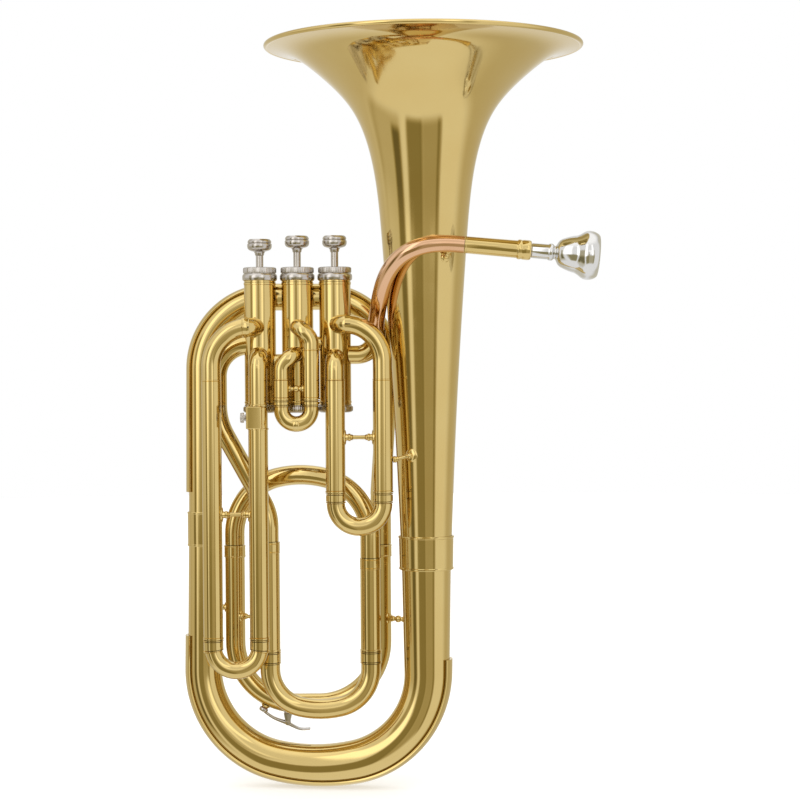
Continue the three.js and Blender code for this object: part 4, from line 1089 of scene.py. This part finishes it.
def make_stays():
    z = 114.6
    bow_r = bottom_bow_radius(BELL_PROFILE[0][0] - z)
    stay_between("bow_stay_spindle", (LOOP_RIGHT, BACK_Y, LOOP_R), (0, 0, bow_r), z, "bow_stay", ball=2.6)
    stay_between(
        "loop_stay_spindle", (LOOP_LEFT, BACK_Y, LOOP_R), (TUNING_LEFT, TUNING_Y, TUNING_SLEEVE_R), 117,
        "loop_stay",
    )
    left_r = bottom_bow_radius(length_of(BOTTOM_BOW) - (BOW_LEFT_TOP - 123))
    stay_between(
        "outer_loop_stay", (BOW_LEFT_X, BACK_Y, left_r), (LOOP_LEFT, BACK_Y, LOOP_R), 123,
        feet=(2.6, 3.6), rod=1.2,
    )
    leg_r = SLIDES[0]["sleeve_r"]
    leg = Vector((SLIDES[0]["legs"][1] + leg_r + 0.1, FRONT_Y, 231))
    bell_foot("bell_stay_rod", leg, math.radians(240), 234, 4.8, "bell_stay")
    pipe = Vector((18, -38, 381.1)) + Vector((-0.2, 0.8, -0.57)).normalized() * (LEADPIPE_R - 0.3)
    bell_foot("leadpipe_stay_rod", pipe, math.radians(299), 372.5, 3.6, "leadpipe_stay")


def bell_foot(name, start, angle, z, size, node_name):
    """A rod from another tube to the bell, with a round foot that hugs the bell."""
    shape = Shape()
    r = bell_radius(z)
    saddle_plate(shape, (0, 0), r, angle, z, size, size, 1.0)
    end = Vector((math.cos(angle) * (r + 0.3), math.sin(angle) * (r + 0.3), z))
    spindle(shape, start, end, rod=1.3, collar=2.3, collar_at=1.8)
    piece(name, shape, BRASS, "horn", node_name)


# ---------------------------------------------------------------- studio

def lobe(tree, azimuth, elevation, box, soft, strength):
    """A soft-edged patch of the sky: box is (left, right, low, high) in degrees, 0 towards the camera."""
    def edge(value, at, rising):
        made = node(tree, "ShaderNodeMapRange", {
            "From Min": at - soft / 2, "From Max": at + soft / 2,
            "To Min": 0.0 if rising else 1.0, "To Max": 1.0 if rising else 0.0,
        }, interpolation_type="SMOOTHSTEP")
        tree.links.new(value, made.inputs["Value"])
        return made.outputs["Result"]

    value = None
    for source, at, rising in (
        (azimuth, box[0], True), (azimuth, box[1], False), (elevation, box[2], True),
        (elevation, box[3], False),
    ):
        step = edge(source, at, rising)
        value = step if value is None else math_node(tree, "MULTIPLY", value, step)
    return math_node(tree, "MULTIPLY", value, strength)


def math_node(tree, operation, *values):
    made = node(tree, "ShaderNodeMath", operation=operation)
    for slot, value in zip(made.inputs, values):
        if isinstance(value, (int, float)):
            slot.default_value = value
        else:
            tree.links.new(value, slot)
    return made.outputs[0]


# Patches added to the tent's even light: (left, right, low, high), soft edge, strength. Where the light
# is dim it is warmer, as a dark room's brown is.
TENT = 0.93
PATCHES = [
    ((-38, -5, -40, -2), 9, -0.62),  # the dark gap for the camera and its stand
    ((-5, 36, -40, -2), 12, -0.45),
    ((-112, -52, -40, -2), 14, -0.3),
    ((-15, 1, -1, 14), 6, -0.5),
    ((-50, -27, -3, 50), 8, 0.85),  # main soft box, front left
    ((14, 27, -3, 46), 6, 0.65),  # strip light, front right
    ((-14, 14, 3, 22), 8, 0.3),
    ((29, 38, -40, 20), 6, -0.22),
    ((-70, -52, -30, 22), 8, -0.45),  # edge of the tent, left
    ((92, 170, -60, 50), 30, -0.3),
    ((-170, -110, -60, 50), 30, -0.25),
    ((-400, 400, 52, 200), 26, 0.35),  # ceiling
]


def make_world():
    world = bpy.data.worlds.new("tent")
    bpy.context.scene.world = world
    world.use_nodes = True
    tree = world.node_tree
    tree.nodes.clear()
    place = node(tree, "ShaderNodeTexCoord")
    split = node(tree, "ShaderNodeSeparateXYZ")
    tree.links.new(place.outputs["Generated"], split.inputs[0])
    x, y, z = split.outputs
    degrees = 180 / math.pi
    towards_camera = math_node(tree, "MULTIPLY", y, -1)
    azimuth = math_node(tree, "MULTIPLY", math_node(tree, "ARCTAN2", x, towards_camera), degrees)
    elevation = math_node(tree, "MULTIPLY", math_node(tree, "ARCSINE", z), degrees)
    light = TENT
    for box, soft, strength in PATCHES:
        light = math_node(tree, "ADD", light, lobe(tree, azimuth, elevation, box, soft, strength))
    light = math_node(tree, "MAXIMUM", light, 0.03)
    seen = node(tree, "ShaderNodeLightPath")
    tent = node(tree, "ShaderNodeBackground")
    warmth = blended(tree, ramp(tree, light, 0, 1, (0.3, 0.85)), (1, 0.86, 0.42), (1, 0.99, 0.97))
    tree.links.new(warmth, tent.inputs["Color"])
    tree.links.new(light, tent.inputs["Strength"])
    backdrop = node(tree, "ShaderNodeBackground", {"Color": (1, 1, 1, 1), "Strength": 1.0})
    mix = node(tree, "ShaderNodeMixShader")
    tree.links.new(seen.outputs["Is Camera Ray"], mix.inputs[0])
    tree.links.new(tent.outputs[0], mix.inputs[1])
    tree.links.new(backdrop.outputs[0], mix.inputs[2])
    out = node(tree, "ShaderNodeOutputWorld")
    tree.links.new(mix.outputs[0], out.inputs["Surface"])


def make_floor():
    """A pale round floor under the horn. Metal reflects the tent in its place."""
    made, tree, principled = shader("pale_floor")
    principled.inputs["Base Color"].default_value = (0.8, 0.8, 0.8, 1)
    principled.inputs["Roughness"].default_value = 0.9
    principled.inputs["Specular IOR Level"].default_value = 0.1
    principled.inputs["Emission Color"].default_value = (1, 1, 1, 1)
    principled.inputs["Emission Strength"].default_value = 0.45
    mesh = bpy.data.meshes.new("floor")
    sides, radius, height = 96, 3.0, -0.0004
    angles = [2 * math.pi * j / sides for j in range(sides)]
    ring = [(radius * math.cos(a), radius * math.sin(a), height) for a in angles]
    mesh.from_pydata(ring, [], [list(range(sides))])
    mesh.materials.append(made)
    floor = bpy.data.objects.new("floor", mesh)
    bpy.context.scene.collection.objects.link(floor)
    floor.visible_glossy = False


def make_camera():
    data = bpy.data.cameras.new("camera")
    data.sensor_width = 36
    data.lens = CAMERA_LENS
    data.clip_start, data.clip_end = 0.05, 20
    camera = bpy.data.objects.new("camera", data)
    bpy.context.scene.collection.objects.link(camera)
    forward = Vector((
        math.sin(CAMERA_PAN) * math.cos(CAMERA_TILT), math.cos(CAMERA_PAN) * math.cos(CAMERA_TILT),
        -math.sin(CAMERA_TILT),
    ))
    right = forward.cross(Vector((0, 0, 1))).normalized()
    up = right.cross(forward)
    right, up = (
        right * math.cos(CAMERA_ROLL) + up * math.sin(CAMERA_ROLL),
        up * math.cos(CAMERA_ROLL) - right * math.sin(CAMERA_ROLL),
    )
    turn = Matrix((right, up, -forward)).transposed().to_4x4()
    turn.translation = SHIFT + Vector(CAMERA_PLACE) * MM
    camera.matrix_world = turn
    bpy.context.scene.camera = camera


# ---------------------------------------------------------------- making it

make_bell()
make_bell_ferrule()
make_bows()
nipple_foot, nipple_out = make_lower_loop()
make_arch()
make_tuning_slide()
make_s_tube()
for valve in range(3):
    make_valve(valve)
make_port_tubes()
make_slides()
make_leadpipe()
make_receiver_and_mouthpiece()
make_lyre_holder()
make_water_key(nipple_foot, nipple_out)
make_stays()
make_world()
make_floor()
make_camera()
bpy.context.scene.view_settings.view_transform = "Standard"
